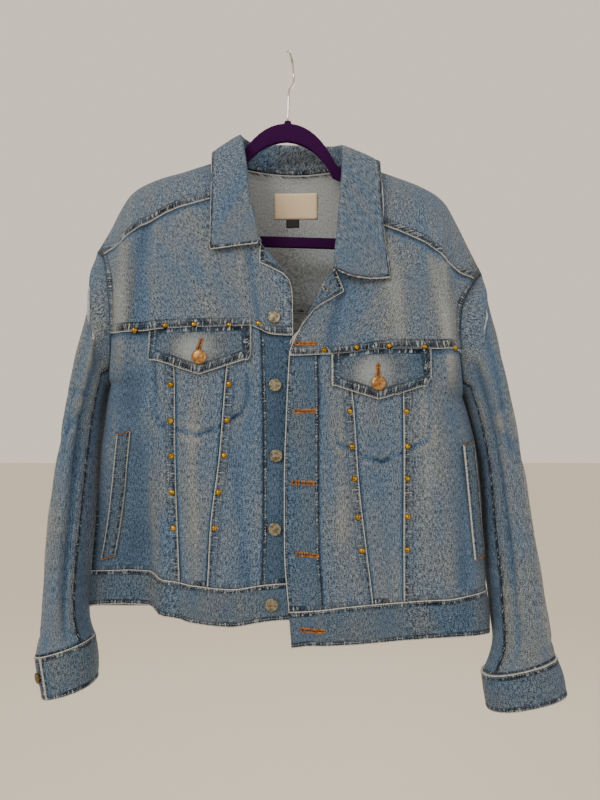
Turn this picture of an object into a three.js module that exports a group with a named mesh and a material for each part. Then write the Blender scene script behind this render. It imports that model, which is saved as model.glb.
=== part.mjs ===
// A denim jacket on a slim velvet hanger.
// Millimetres, +Z up. X runs to the wearer's left, the front faces -Y, and the origin is
// the inside top of the hanger's hook, where the whole thing is held.
import * as THREE from "three";

// Cloth and seams
const denim = 1.6;
const doubled = 2.6;
const seamGap = 0.3;
const armholeGap = 0.6;
const layerGap = 0.35;
const overLift = 0.85;
const pocketLift = 1;

// The body's side edges by height. Between the armhole's top and bottom they are its rim.
const bodyEdges = [
  { z: -745, right: -247, left: 244 },
  { z: -690, right: -246.5, left: 240.5 },
  { z: -640, right: -244, left: 238 },
  { z: -600, right: -241, left: 236 },
  { z: -550, right: -237, left: 233.5 },
  { z: -507, right: -231.5, left: 229 },
  { z: -470, right: -226, left: 220 },
  { z: -445, right: -222.5, left: 212.5 },
  { z: -420, right: -217, left: 206 },
  { z: -395, right: -212.5, left: 202 },
  { z: -370, right: -211, left: 201 },
  { z: -345, right: -212, left: 204 },
  { z: -325, right: -214.5, left: 212 },
  { z: -308, right: -217.5, left: 224.5 },
  { z: -290, right: -221.5, left: 240.5 },
  { z: -276, right: -228, left: 240.5 },
  { z: -262, right: -242, left: 240.5 },
  { z: -100, right: -242, left: 240.5 },
];

// How far the middle of the front and of the back stand from the hanger's plane, by height.
const bodyDepths = [
  { z: -745, front: -57, back: 44, square: 2.7 },
  { z: -690, front: -60, back: 46, square: 2.7 },
  { z: -500, front: -61, back: 48, square: 2.9 },
  { z: -370, front: -59, back: 48, square: 3.2 },
  { z: -300, front: -54, back: 47, square: 3.2 },
  { z: -250, front: -47, back: 46, square: 3 },
  { z: -200, front: -40, back: 46, square: 3 },
  { z: -100, front: -32, back: 46, square: 3 },
];

// The shoulder ridge that lies over the hanger, from armhole to armhole.
const ridgeLine = [
  { x: -242, z: -262 },
  { x: -232, z: -239 },
  { x: -216, z: -204.5 },
  { x: -207, z: -190.5 },
  { x: -199, z: -181.5 },
  { x: -188, z: -173.5 },
  { x: -173, z: -166 },
  { x: -138, z: -156 },
  { x: -100, z: -143.5 },
  { x: -60, z: -133 },
  { x: 0, z: -120 },
  { x: 64, z: -139 },
  { x: 113, z: -155 },
  { x: 143, z: -166 },
  { x: 176, z: -179.5 },
  { x: 195, z: -194 },
  { x: 215, z: -228.5 },
  { x: 233, z: -272 },
  { x: 240.5, z: -290 },
];
const ridgeRounding = 130;
const ridgeSquare = 2.2;

// The two armholes are ovals standing on their side.
const armholes = {
  right: { top: -262, bottom: -432, middle: -2, front: 42, back: 40 },
  left: { top: -290, bottom: -447, middle: -2, front: 42, back: 40 },
};

// Long folds down the body: a ridge where rise is above 0 and a trough where it is below.
const bodyFolds = [
  { face: -1, topX: -172, topZ: -225, lowX: -170, lowZ: -375, width: 13, rise: -5 },
  { face: -1, topX: -198, topZ: -262, lowX: -196, lowZ: -395, width: 10, rise: 6 },
  { face: -1, topX: 182, topZ: -275, lowX: 190, lowZ: -420, width: 10, rise: 9 },
  { face: -1, topX: -148, topZ: -420, lowX: -142, lowZ: -560, width: 12, rise: 5 },
  { face: -1, topX: -185, topZ: -440, lowX: -190, lowZ: -640, width: 20, rise: -6 },
  { face: -1, topX: 172, topZ: -470, lowX: 186, lowZ: -680, width: 20, rise: 5 },
  { face: -1, topX: -50, topZ: -300, lowX: -62, lowZ: -380, width: 20, rise: -3 },
  { face: -1, topX: 84, topZ: -320, lowX: 92, lowZ: -395, width: 22, rise: -3 },
  { face: 1, topX: -150, topZ: -300, lowX: -160, lowZ: -690, width: 24, rise: 7 },
  { face: 1, topX: -70, topZ: -380, lowX: -58, lowZ: -710, width: 22, rise: -6 },
  { face: 1, topX: 35, topZ: -330, lowX: 48, lowZ: -700, width: 26, rise: 6 },
  { face: 1, topX: 128, topZ: -350, lowX: 140, lowZ: -690, width: 22, rise: -7 },
];
const foldFade = 45;
// The right hem falls back from the pocket panel to the side seam.
const hemRecess = { fromX: -141, toX: -173, fromZ: -430, toZ: -640, depth: 46 };
// The left front laps over the right one.
const lapRise = 4.6;
const lapWide = { none: 64, full: 30 };

// Seams across the fronts
const chestSeam = {
  right: [
    { x: -212, z: -374 },
    { x: -183, z: -376 },
    { x: -160, z: -373.5 },
    { x: -127, z: -370.5 },
    { x: -92, z: -369.5 },
    { x: -43, z: -368 },
    { x: -31, z: -373.5 },
    { x: -16, z: -378 },
    { x: 6, z: -380 },
  ],
  left: [
    { x: -6, z: -404.5 },
    { x: 33, z: -403 },
    { x: 65, z: -400.5 },
    { x: 106, z: -395.5 },
    { x: 147, z: -395 },
    { x: 177, z: -395.5 },
    { x: 202, z: -398 },
  ],
};
const waistSeam = {
  right: [
    { x: -247, z: -662 },
    { x: -176, z: -661 },
    { x: -135, z: -660 },
    { x: -111, z: -665 },
    { x: -60, z: -669 },
    { x: -26, z: -664 },
    { x: 6, z: -662 },
  ],
  left: [
    { x: -6, z: -693 },
    { x: 42, z: -690.5 },
    { x: 85, z: -687 },
    { x: 134, z: -684 },
    { x: 197, z: -681 },
    { x: 244, z: -680 },
  ],
};
const hemLine = {
  right: [
    { x: -247, z: -705 },
    { x: -176, z: -702 },
    { x: -135, z: -701 },
    { x: -111, z: -707 },
    { x: -60, z: -711.5 },
    { x: -26, z: -705.5 },
    { x: 6, z: -703 },
  ],
  left: [
    { x: -6, z: -734 },
    { x: 19, z: -731 },
    { x: 53, z: -732 },
    { x: 100, z: -729.5 },
    { x: 150, z: -727 },
    { x: 196, z: -729.5 },
    { x: 244, z: -734 },
  ],
};
const backWaist = { right: -664, left: -682 };
const backHem = { right: -706, left: -734 };
const backYokeSeam = { right: -322, left: -338 };

// Seams down the fronts, by height
const frontSeams = {
  right: [
    { z: -745, outer: -121, inner: -97, placket: -29, edge: 5 },
    { z: -661, outer: -123.6, inner: -92, placket: -29, edge: 5 },
    { z: -600, outer: -126.7, inner: -89.3, placket: -28, edge: 5 },
    { z: -520, outer: -130, inner: -80, placket: -28.3, edge: 5 },
    { z: -437, outer: -132, inner: -74, placket: -29.7, edge: 5 },
    { z: -370, outer: -135, inner: -69, placket: -32, edge: 5 },
  ],
  left: [
    { z: -745, outer: 130, inner: 100, placket: 40, edge: 4.5 },
    { z: -691, outer: 130.6, inner: 96.3, placket: 38, edge: 0 },
    { z: -626, outer: 131, inner: 88.9, placket: 34.5, edge: -5 },
    { z: -550, outer: 132, inner: 80.6, placket: 33.5, edge: -5.4 },
    { z: -468, outer: 132.5, inner: 75.6, placket: 33.6, edge: -3 },
    { z: -395, outer: 132, inner: 68, placket: 32.7, edge: 0.5 },
  ],
};

// The seam that the back yoke meets in front of each shoulder, from armhole to neck.
const shoulderSeam = {
  right: [
    [-228, -276],
    [-213, -269.5],
    [-202, -259],
    [-183, -240],
    [-162, -229.5],
    [-135, -217],
    [-98, -207],
    [-66, -198.5],
  ],
  left: [
    [225.5, -307],
    [206, -303],
    [190, -291],
    [179, -279],
    [165, -264],
    [135, -250.5],
    [112, -242],
    [73, -232],
  ],
};

// Each front's free edge above the chest seam: up to the roll, along the roll to the
// collar's end, then along the neck seam.
const neckEdge = {
  right: [
    [5, -380],
    [4.5, -333],
    [3, -322],
    [0.5, -312],
    [-6.5, -302],
    [-21, -283],
    [-32, -269],
    [-48, -240],
    [-60, -215],
    [-66, -198.5],
  ],
  left: [
    [0.5, -400],
    [4, -389],
    [16, -365],
    [30, -341],
    [36, -328],
    [42, -314],
    [52, -303],
    [63, -275],
    [69, -250],
    [73, -232],
  ],
};

// The turned corner of each front: the roll and the free edge that lies on the cloth.
const turnedCorners = {
  right: {
    roll: [[-31, -270], [-21, -283], [-6.5, -302], [0, -311]],
    edge: [[-34.5, -270], [-35, -291], [-21, -298.5], [-6.5, -306.5], [1, -315]],
  },
  left: {
    roll: [[52, -303], [42, -314], [36, -328], [30, -341], [16, -365], [5, -388]],
    edge: [
      [55, -303], [65, -327], [60, -330], [41, -342],
      [29.5, -350], [12, -373.5], [2, -386], [1, -391],
    ],
  },
};

// The collar, from its right front end round the back of the neck to its left front end.
// seam is where it is sewn on, fold is its turned top, and edge is its free edge.
const collarRails = [
  { s: 0, seam: [-33, -52, -267], fold: [-34.5, -54.5, -266.5], edge: [-36, -56, -269.5] },
  { s: 0.05, seam: [-39, -50.5, -256], fold: [-38, -53.5, -252], edge: [-58, -56, -272] },
  { s: 0.12, seam: [-48, -47.5, -236], fold: [-43, -50.5, -228], edge: [-78, -56, -275] },
  { s: 0.2, seam: [-59, -41, -207], fold: [-50, -44, -194], edge: [-93, -56, -277] },
  { s: 0.29, seam: [-67, -27.5, -165], fold: [-56, -31, -147], edge: [-94, -45, -222] },
  { s: 0.37, seam: [-72.6, -6, -135.6], fold: [-62, -4, -111], edge: [-98, -10, -138.5] },
  { s: 0.43, seam: [-57, 20.8, -142], fold: [-47, 26, -106.5], edge: [-88, 41, -156.5] },
  { s: 0.5, seam: [2, 31, -147.3], fold: [2, 36, -103], edge: [3, 50, -173] },
  { s: 0.57, seam: [62.5, 19.6, -147.1], fold: [53, 26, -110], edge: [96, 42, -167] },
  { s: 0.63, seam: [80.2, -8, -146.2], fold: [67, -4, -125], edge: [114, -10, -150] },
  { s: 0.71, seam: [76, -32.5, -185], fold: [65, -37, -168], edge: [113, -46, -230] },
  { s: 0.8, seam: [69, -46.5, -234], fold: [61, -50, -218], edge: [118.5, -59, -311] },
  { s: 0.88, seam: [64, -51.5, -268], fold: [57.5, -55.5, -256], edge: [98, -60.5, -313.5] },
  { s: 0.95, seam: [57.5, -56.5, -291], fold: [54.5, -60, -286], edge: [76, -62, -311] },
  { s: 1, seam: [53.5, -58.5, -301], fold: [54, -61.5, -300], edge: [56.5, -63, -304] },
];

// The sleeves, ring by ring below the armhole: the outer and the inner side of each ring,
// and how far it reaches forward and back.
const sleeveRings = {
  right: [
    { outer: [-243.5, -279], inner: [-224.5, -436], front: -47, back: 46 },
    { outer: [-243.5, -300], inner: [-226, -440], front: -49, back: 52 },
    { outer: [-246, -332], inner: [-227, -445], front: -50, back: 58 },
    { outer: [-255, -370], inner: [-228.5, -451], front: -51, back: 62 },
    { outer: [-262.5, -407], inner: [-230, -459], front: -51, back: 65 },
    { outer: [-268, -440], inner: [-232, -472], front: -51, back: 67 },
    { outer: [-274, -477], inner: [-235, -494], front: -50, back: 67 },
    { outer: [-280.5, -523], inner: [-238.5, -532], front: -49, back: 66 },
    { outer: [-286.5, -577], inner: [-243, -582], front: -47, back: 62 },
    { outer: [-291, -640], inner: [-248, -642], front: -45, back: 54 },
    { outer: [-293.5, -690], inner: [-249.5, -690], front: -44, back: 44 },
    { outer: [-296.5, -724], inner: [-246, -718], front: -43, back: 34 },
    { outer: [-301.5, -755.1], inner: [-237.2, -736], front: -42.6, back: 24.6 },
  ],
  left: [
    { outer: [241.8, -303], inner: [216, -451], front: -46, back: 46 },
    { outer: [244.8, -320], inner: [218, -456], front: -47, back: 52 },
    { outer: [250, -345], inner: [220, -462], front: -48, back: 57 },
    { outer: [257.5, -375], inner: [222.5, -470], front: -49, back: 61 },
    { outer: [263.5, -405], inner: [225.5, -481], front: -49, back: 64 },
    { outer: [268.5, -440], inner: [229, -497], front: -49, back: 65 },
    { outer: [275, -480], inner: [233, -518], front: -48, back: 65 },
    { outer: [283.5, -530], inner: [236.5, -550], front: -47, back: 63 },
    { outer: [293, -590], inner: [239.5, -600], front: -45, back: 58 },
    { outer: [302.5, -648], inner: [243, -654], front: -44, back: 48 },
    { outer: [309, -700], inner: [246, -706], front: -42, back: 36 },
    { outer: [313.5, -736], inner: [246.5, -745], front: -40, back: 24 },
    { outer: [317, -755], inner: [234, -776], front: -38, back: 14 },
  ],
};
const sleeveSquare = 2.3;
// The dented crease along the front of each sleeve, by ring angle, and where the seams run.
const sleeveCrease = { right: 118, left: 128, halfWidth: 16, depth: 5 };
const underStart = 142;
const underEnd = 236;

const cuffs = {
  right: {
    top: { outer: [-302.3, -755.5], inner: [-236.5, -736.5] },
    low: { outer: [-291.5, -803], inner: [-232, -788] },
    front: -43,
    back: 25,
    slit: 60,
  },
  left: {
    top: { outer: [318.5, -756.5], inner: [230.5, -777.5] },
    low: { outer: [329.5, -800], inner: [236, -819] },
    front: -39,
    back: 15,
    slit: 300,
  },
};
const cuffButton = { along: 0.5, radius: 6.5 };

// Pocket flaps, hung just below the chest seam, and the slanted pocket welts
const flaps = {
  right: { from: -162, to: -43.5, corner: -409, point: -425.5, pointX: -103.5 },
  left: { from: 49, to: 165, corner: -439, point: -454.5, pointX: 103.8 },
};
const flapSide = 9;
const welts = {
  right: { topX: -197.5, topZ: -492, lowX: -224.5, lowZ: -646, wide: 17, lift: 2.4 },
  left: { topX: 212, topZ: -505, lowX: 225, lowZ: -640, wide: 15, lift: 1 },
};

// Metal buttons on the right front, and studs along the slanted seams
const buttonPlaces = [[-17, -358], [-15.8, -438], [-14.6, -519], [-15.3, -602], [-19, -685]];
const frontButtonRadius = 7.4;
const flapButtonPlaces = { right: [-103, -405.5], left: [102.8, -435.5] };
const flapButtonRadius = 8.4;
const studRadius = 3.5;
const studHeights = {
  right: [-437, -478.5, -519, -560.5, -601],
  left: [-468, -508.5, -545, -589, -626],
};
const studInset = 6.5;
const farOut = 30;
const studClear = 0.5;

// The woven label inside the back neck, with the smaller tab under it
const label = { fromX: -22, toX: 37, topZ: -170, lowZ: -203.5, thick: 0.7 };
const sizeTab = { fromX: -6, toX: 11, lowZ: -215 };

// The hanger
const hangerTilt = 1.7;
const hanger = {
  thick: 6,
  halfWidth: 191,
  neckTop: -90,
  archTop: -93,
  archHalf: 76,
  archDrop: 62,
  band: 24,
  armEnd: -196,
  armBand: 15,
  barTop: -243,
  barDeep: 13,
};
const hook = { wire: 1.8, radius: 18, turn: 75, tip: 215 };

const look = {
  denim: new THREE.MeshStandardMaterial({ color: 0x7f93aa, roughness: 0.95 }),
  brass: new THREE.MeshStandardMaterial({ color: 0xb08d3c, roughness: 0.35, metalness: 1 }),
  nickel: new THREE.MeshStandardMaterial({ color: 0xa9a083, roughness: 0.35, metalness: 1 }),
  copper: new THREE.MeshStandardMaterial({ color: 0xc49862, roughness: 0.35, metalness: 1 }),
  label: new THREE.MeshStandardMaterial({ color: 0xe8d2ae, roughness: 0.9 }),
  velvet: new THREE.MeshStandardMaterial({ color: 0x3f1a4f, roughness: 1 }),
  steel: new THREE.MeshStandardMaterial({ color: 0xb8b8ba, roughness: 0.3, metalness: 1 }),
};

const jacket = new THREE.Group();
const { clamp, lerp, degToRad } = THREE.MathUtils;

function add(name, geometry, material) {
  const mesh = new THREE.Mesh(geometry, material);
  mesh.name = name;
  jacket.add(mesh);
  return mesh;
}

// A value read between the rows of a table without overshooting them.
function between(rows, key, at, column) {
  const last = rows.length - 1;
  let row = 0;
  while (row < last - 1 && at > rows[row + 1][key]) row += 1;
  const slope = (n) => (rows[n + 1][column] - rows[n][column]) / (rows[n + 1][key] - rows[n][key]);
  const tangent = (n) => {
    if (n === 0) return slope(0);
    if (n === last) return slope(last - 1);
    const product = slope(n - 1) * slope(n);
    return product > 0 ? (2 * product) / (slope(n - 1) + slope(n)) : 0;
  };
  const span = rows[row + 1][key] - rows[row][key];
  const t = clamp((at - rows[row][key]) / span, 0, 1);
  const bend = t * t * (3 - 2 * t);
  const lean = t * (1 - t) * span;
  return (
    lerp(rows[row][column], rows[row + 1][column], bend) +
    lean * ((1 - t) * tangent(row) - t * tangent(row + 1))
  );
}

// A point at a share of a broken line's length.
function onLine(points, share) {
  const lengths = points.slice(1).map((p, i) => Math.hypot(p[0] - points[i][0], p[1] - points[i][1]));
  let left = clamp(share, 0, 1) * lengths.reduce((sum, length) => sum + length, 0);
  let i = 0;
  while (i < lengths.length - 1 && left > lengths[i]) {
    left -= lengths[i];
    i += 1;
  }
  const t = left / lengths[i];
  return [lerp(points[i][0], points[i + 1][0], t), lerp(points[i][1], points[i + 1][1], t)];
}

// A point at a share of a broken line, counted by its corners.
function atCorner(points, share) {
  const place = share * (points.length - 1);
  const i = Math.min(points.length - 2, Math.floor(place));
  return [0, 1].map((n) => lerp(points[i][n], points[i + 1][n], place - i));
}

function smooth(from, to, at) {
  const t = clamp((at - from) / (to - from), 0, 1);
  return t * t * (3 - 2 * t);
}

// The depth of the armhole's rim, or of the side seam below it and the ridge above it.
function rimDepth(z, side, face) {
  const hole = armholes[side];
  const height = (hole.top - hole.bottom) / 2;
  const up = (z - (hole.top + hole.bottom) / 2) / height;
  const open = Math.sqrt(Math.max(0, 1 - up * up));
  const reach = face < 0 ? hole.front : hole.back;
  const seat = z < hole.bottom ? lerp(hole.middle, 6, smooth(hole.bottom, -640, z)) : hole.middle;
  return (z > hole.top ? 0 : seat) + face * (reach * open + seamGap / 2);
}

function foldRise(x, z, face, laps) {
  let rise = 0;
  for (const fold of bodyFolds) {
    if (fold.face !== face) continue;
    const along = clamp((z - fold.topZ) / (fold.lowZ - fold.topZ), 0, 1);
    const middle = lerp(fold.topX, fold.lowX, along);
    const reach = Math.min(fold.topZ - z, z - fold.lowZ) / foldFade + 1;
    rise += fold.rise * smooth(0, 1, reach) * Math.exp(-(((x - middle) / fold.width) ** 2));
  }
  if (face < 0) {
    const back = smooth(hemRecess.fromX, hemRecess.toX, x) * smooth(hemRecess.fromZ, hemRecess.toZ, z);
    rise -= hemRecess.depth * back;
    if (laps) rise += lapRise * smooth(lapWide.none, lapWide.full, x);
  }
  return rise;
}

// The side of the jacket that a place belongs to
const sideOf = (x) => (x < 0 ? "right" : "left");

// How full the body is at a place: 0 on the shoulder ridge, 1 well below it.
function fullness(x, z) {
  const below = clamp((between(ridgeLine, "x", x, "z") - z) / ridgeRounding, 0, 1);
  return (1 - (1 - below) ** ridgeSquare) ** (1 / ridgeSquare);
}

// The depth of the body's outer face where deep says how far it is rounded off at the side.
function faceDepth(x, z, face, side, deep, laps) {
  const middle = between(bodyDepths, "z", z, face < 0 ? "front" : "back");
  const rim = rimDepth(z, side, face);
  const full = deep * fullness(x, z);
  return rim + (middle - rim) * full + face * foldRise(x, z, face, laps) * Math.min(1, 1.4 * full);
}

// A point of the body by its share across: -1 is the right edge, 1 the left edge.
function bodyPoint(across, z, face, laps = false) {
  const side = sideOf(across);
  const edge = between(bodyEdges, "z", z, side);
  const square = between(bodyDepths, "z", z, "square");
  const turn = (Math.min(1, Math.abs(across)) * Math.PI) / 2;
  const x = edge * Math.sin(turn) ** (2 / square);
  const deep = Math.max(0, Math.cos(turn)) ** (2 / square);
  return new THREE.Vector3(x, faceDepth(x, z, face, side, deep, laps), z);
}

function acrossAt(x, z) {
  const edge = between(bodyEdges, "z", z, sideOf(x));
  const square = between(bodyDepths, "z", z, "square");
  return (Math.sign(x) * Math.asin(clamp(x / edge, 0, 1) ** (square / 2)) * 2) / Math.PI;
}

// A point near the shoulder: over runs up the back to 0 on the ridge and on down the front.
function shoulderPoint(x, over) {
  const z = between(ridgeLine, "x", x, "z") - over * over;
  const face = over < 0 ? -1 : 1;
  const side = sideOf(x);
  const edge = between(bodyEdges, "z", z, side);
  const square = between(bodyDepths, "z", z, "square");
  const deep = (1 - clamp(x / edge, 0, 1) ** square) ** (1 / square);
  const bare = faceDepth(x, z, face, side, deep, false);
  return new THREE.Vector3(x, over === 0 ? 0 : bare, z);
}

// A point moved out of its surface, where surface gives points by two shares.
function lifted(surface, a, b, stepA, stepB, lift) {
  const alongA = surface(a + stepA, b).sub(surface(a - stepA, b));
  const alongB = surface(a, b + stepB).sub(surface(a, b - stepB));
  return surface(a, b).addScaledVector(alongA.cross(alongB).normalize(), lift);
}

function onBody(across, z, face, lift, laps = false) {
  const base = bodyPoint(across, z, face, laps);
  if (Math.abs(across) > 0.999) return base.add(new THREE.Vector3(Math.sign(across) * lift, 0, 0));
  const held = clamp(across, -0.99, 0.99);
  const near = bodyPoint(held, z, face, laps);
  const raised = lifted((a, b) => bodyPoint(a, b, face, laps), held, z, 0.004, 1, -face * lift);
  return base.add(raised.sub(near));
}

function onShoulder(x, over, lift) {
  return lifted(shoulderPoint, x, over, 0.6, 0.25, lift);
}

// A closed wall from a sheet of points: at(u, v, k) is its inner face for k = 0, outer for k = 1.
function wall(across, up, at) {
  const points = [];
  const index = [];
  const id = (i, j, k) => (k * (up + 1) + j) * (across + 1) + i;
  for (let k = 0; k <= 1; k += 1) {
    for (let j = 0; j <= up; j += 1) {
      for (let i = 0; i <= across; i += 1) points.push(...at(i / across, j / up, k).toArray());
    }
  }
  const quad = (a, b, c, d) => index.push(a, b, c, a, c, d);
  for (let j = 0; j < up; j += 1) {
    for (let i = 0; i < across; i += 1) {
      quad(id(i, j, 1), id(i + 1, j, 1), id(i + 1, j + 1, 1), id(i, j + 1, 1));
      quad(id(i, j + 1, 0), id(i + 1, j + 1, 0), id(i + 1, j, 0), id(i, j, 0));
    }
  }
  for (let i = 0; i < across; i += 1) {
    quad(id(i, 0, 0), id(i + 1, 0, 0), id(i + 1, 0, 1), id(i, 0, 1));
    quad(id(i, up, 1), id(i + 1, up, 1), id(i + 1, up, 0), id(i, up, 0));
  }
  for (let j = 0; j < up; j += 1) {
    quad(id(0, j, 1), id(0, j + 1, 1), id(0, j + 1, 0), id(0, j, 0));
    quad(id(across, j, 0), id(across, j + 1, 0), id(across, j + 1, 1), id(across, j, 1));
  }
  const geometry = new THREE.BufferGeometry();
  geometry.setAttribute("position", new THREE.Float32BufferAttribute(points, 3));
  geometry.setIndex(index);
  return facingOut(geometry);
}

// Turns the faces round if they enclose a negative volume.
function facingOut(geometry) {
  const place = geometry.getAttribute("position");
  const index = geometry.getIndex().array;
  const [a, b, c] = [new THREE.Vector3(), new THREE.Vector3(), new THREE.Vector3()];
  let volume = 0;
  for (let i = 0; i < index.length; i += 3) {
    a.fromBufferAttribute(place, index[i]);
    b.fromBufferAttribute(place, index[i + 1]);
    c.fromBufferAttribute(place, index[i + 2]);
    volume += a.dot(b.cross(c));
  }
  if (volume < 0) geometry.setIndex([...index].reverse());
  geometry.computeVertexNormals();
  return geometry;
}

// The four sides of a patch, blended into its inside. Each side gives [share across, height].
function blended(low, high, start, end, u, v) {
  const value = (n) =>
    lerp(low(u)[n], high(u)[n], v) +
    lerp(start(v)[n], end(v)[n], u) -
    lerp(lerp(low(0)[n], low(1)[n], u), lerp(high(0)[n], high(1)[n], u), v);
  return [value(0), value(1)];
}

const half = seamGap / 2;
// Columns of the side, middle, centre and placket pieces, shared with the yoke above them
const stripColumns = [5, 3, 3, 3];
const stripRows = 10;
const stripSeams = ["side", "outer", "inner", "placket", "edge"];
const inward = (side) => (side === "right" ? 1 : -1);
// The side piece's columns stand closer towards its front seam.
const sideColumns = [0, 0.2, 0.44, 0.71, 0.9, 1];
const sideShare = (share) => sideColumns[Math.round(share * stripColumns[0])];

// The x of a named seam at a height; "side" is the body's edge.
function seamX(side, name, z) {
  if (name === "side") return between(bodyEdges, "z", z, side);
  return between(frontSeams[side], "z", z, name);
}

// Where a seam that runs up meets a line that runs across.
function crossing(side, name, line) {
  const near = seamX(side, name, line[side][3].z);
  return seamX(side, name, between(line[side], "x", near, "z"));
}

// A front piece between two seams that run up, from the waist seam to the chest seam.
function frontStrip(side, outer, inner, columns, rows) {
  const turn = inward(side);
  const place = (seam, z, reach) => (seam === "side" ? -turn : acrossAt(seamX(side, seam, z) + reach, z));
  return wall(columns, rows, (column, v, k) => {
    const u = outer === "side" ? sideShare(column) : column;
    const lowX = lerp(crossing(side, outer, waistSeam), crossing(side, inner, waistSeam), u);
    const highX = lerp(crossing(side, outer, chestSeam), crossing(side, inner, chestSeam), u);
    const low = between(waistSeam[side], "x", lowX, "z") + half;
    const high = between(chestSeam[side], "x", highX, "z") - half;
    const z = lerp(low, high, v);
    const share = lerp(place(outer, z, half * turn), place(inner, z, -half * turn), u);
    return onBody(share, z, -1, k ? 0 : -denim, side === "left");
  });
}

// Where a column of the front pieces crosses a line, and its share across the body at a height.
function columnPlace(side, column, line) {
  let [part, inPart] = [0, column];
  while (inPart > stripColumns[part]) {
    inPart -= stripColumns[part];
    part += 1;
  }
  const t = part === 0 ? sideShare(inPart / stripColumns[0]) : inPart / stripColumns[part];
  const [from, to] = [stripSeams[part], stripSeams[part + 1]];
  const x = lerp(crossing(side, from, line), crossing(side, to, line), t);
  const place = (seam, z) => (seam === "side" ? -inward(side) : acrossAt(seamX(side, seam, z), z));
  return { x, share: (z) => lerp(place(from, z), place(to, z), t) };
}

// The front yoke, from the chest seam to the shoulder seam, with its front and neck edge.
function frontYoke(side) {
  const columns = stripColumns.reduce((sum, count) => sum + count, 0);
  const low = (u) => {
    const { x, share } = columnPlace(side, Math.round(u * columns), chestSeam);
    const z = between(chestSeam[side], "x", x, "z") + half;
    return [share(z), z];
  };
  const high = (u) => {
    const [x, z] = atCorner(shoulderSeam[side], u);
    return [u === 0 ? -inward(side) : acrossAt(x, z - 2 * seamGap), z - 2 * seamGap];
  };
  const start = (v) => [-inward(side), lerp(low(0)[1], high(0)[1], v)];
  const end = (v) => {
    const [x, z] = onLine(neckEdge[side], v);
    if (v === 0) return low(1);
    return v === 1 ? high(1) : [acrossAt(x, z), z];
  };
  return wall(columns, 8, (u, v, k) => {
    const [across, z] = blended(low, high, start, end, u, v);
    return onBody(across, z, -1, k ? 0 : -denim, side === "left");
  });
}

// A band round the hem on one front, doubled and standing a little proud.
function frontBand(side) {
  const columns = stripColumns.reduce((sum, count) => sum + count, 0);
  return wall(columns, 2, (u, v, k) => {
    const { x, share } = columnPlace(side, Math.round(u * columns), waistSeam);
    const z = lerp(between(hemLine[side], "x", x, "z"), between(waistSeam[side], "x", x, "z") - half, v);
    return onBody(share(z), z, -1, k ? 0.6 : 0.6 - doubled, side === "left");
  });
}

function backHeight(line, across) {
  return lerp(line.right, line.left, (across + 1) / 2);
}

function backPanel() {
  return wall(20, 11, (u, v, k) => {
    const across = lerp(-1, 1, u);
    const z = lerp(backHeight(backWaist, across) + half, backHeight(backYokeSeam, across) - half, v);
    return onBody(across, z, 1, k ? 0 : -denim);
  });
}

function backBand() {
  return wall(20, 2, (u, v, k) => {
    const across = lerp(-1, 1, u);
    const z = lerp(backHeight(backHem, across), backHeight(backWaist, across) - half, v);
    return onBody(across, z, 1, k ? 0.6 : 0.6 - doubled);
  });
}

// A point of an armhole's rim at a turn from its top, forward for a turn below 0.
function rimPoint(side, turn) {
  const hole = armholes[side];
  const z = lerp(hole.bottom, hole.top, (1 + Math.cos(turn)) / 2);
  const reach = turn < 0 ? hole.front : hole.back;
  const x = between(bodyEdges, "z", z, side);
  return new THREE.Vector3(x, hole.middle * (1 - Math.cos(turn)) * 0.5 + reach * Math.sin(turn), z);
}

function rimTurn(side, z) {
  const hole = armholes[side];
  return Math.acos(clamp((2 * (z - hole.bottom)) / (hole.top - hole.bottom) - 1, -1, 1));
}

// The back yoke: up the back, over the shoulder ridge and down to the forward seams,
// with the neck left open between them.
function backYoke() {
  const columns = 26;
  const shoulderPart = 7 / columns;
  const neckPart = 9 / columns;
  const overAt = (x, z, face) => face * Math.sqrt(Math.max(0, between(ridgeLine, "x", x, "z") - z));
  const neck = {
    right: [[-66, -198.5, -1], [-72, -152, -1], [-73, -136.5, 1], [-58, -143, 1]],
    left: [[73, -232, -1], [80, -165, -1], [81, -144.5, 1], [63, -148, 1]],
  };
  const finish = (u) => {
    const side = u < 0.5 ? "right" : "left";
    const share = Math.min(u, 1 - u);
    if (share <= shoulderPart) {
      const [x, z] = atCorner(shoulderSeam[side], share / shoulderPart);
      return [x, overAt(x, z, -1)];
    }
    const row = neck[side];
    if (share <= neckPart) {
      const t = ((share - shoulderPart) / (neckPart - shoulderPart)) * 3;
      const i = Math.min(2, Math.floor(t));
      const before = [row[i][0], overAt(...row[i])];
      const after = [row[i + 1][0], overAt(...row[i + 1])];
      return [lerp(before[0], after[0], t - i), lerp(before[1], after[1], t - i)];
    }
    const x = lerp(neck.right[3][0], neck.left[3][0], (u - neckPart) / (1 - 2 * neckPart));
    return [x, overAt(x, lerp(-144, -147.5, (x + 60) / 120) - 2 * Math.cos(x / 40), 1)];
  };
  const rim = (side, v, lift) => {
    const from = rimTurn(side, backYokeSeam[side] + half);
    const to = -rimTurn(side, shoulderSeam[side][0][1]);
    const place = rimPoint(side, lerp(from, to, v));
    return place.addScaledVector(new THREE.Vector3(inward(side), 0, 0), lift < 0 ? denim : 0);
  };
  return wall(columns, 10, (u, v, k) => {
    const lift = k ? 0 : -denim;
    if (u === 0) return rim("right", v, lift);
    if (u === 1) return rim("left", v, lift);
    const across = lerp(-1, 1, u);
    const seamZ = backHeight(backYokeSeam, across) + half;
    const seat = bodyPoint(across, seamZ, 1);
    if (v === 0) return onBody(across, seamZ, 1, lift);
    const [x, over] = finish(u);
    return onShoulder(lerp(seat.x, x, v), lerp(overAt(seat.x, seamZ, 1), over, v), lift);
  });
}

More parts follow.
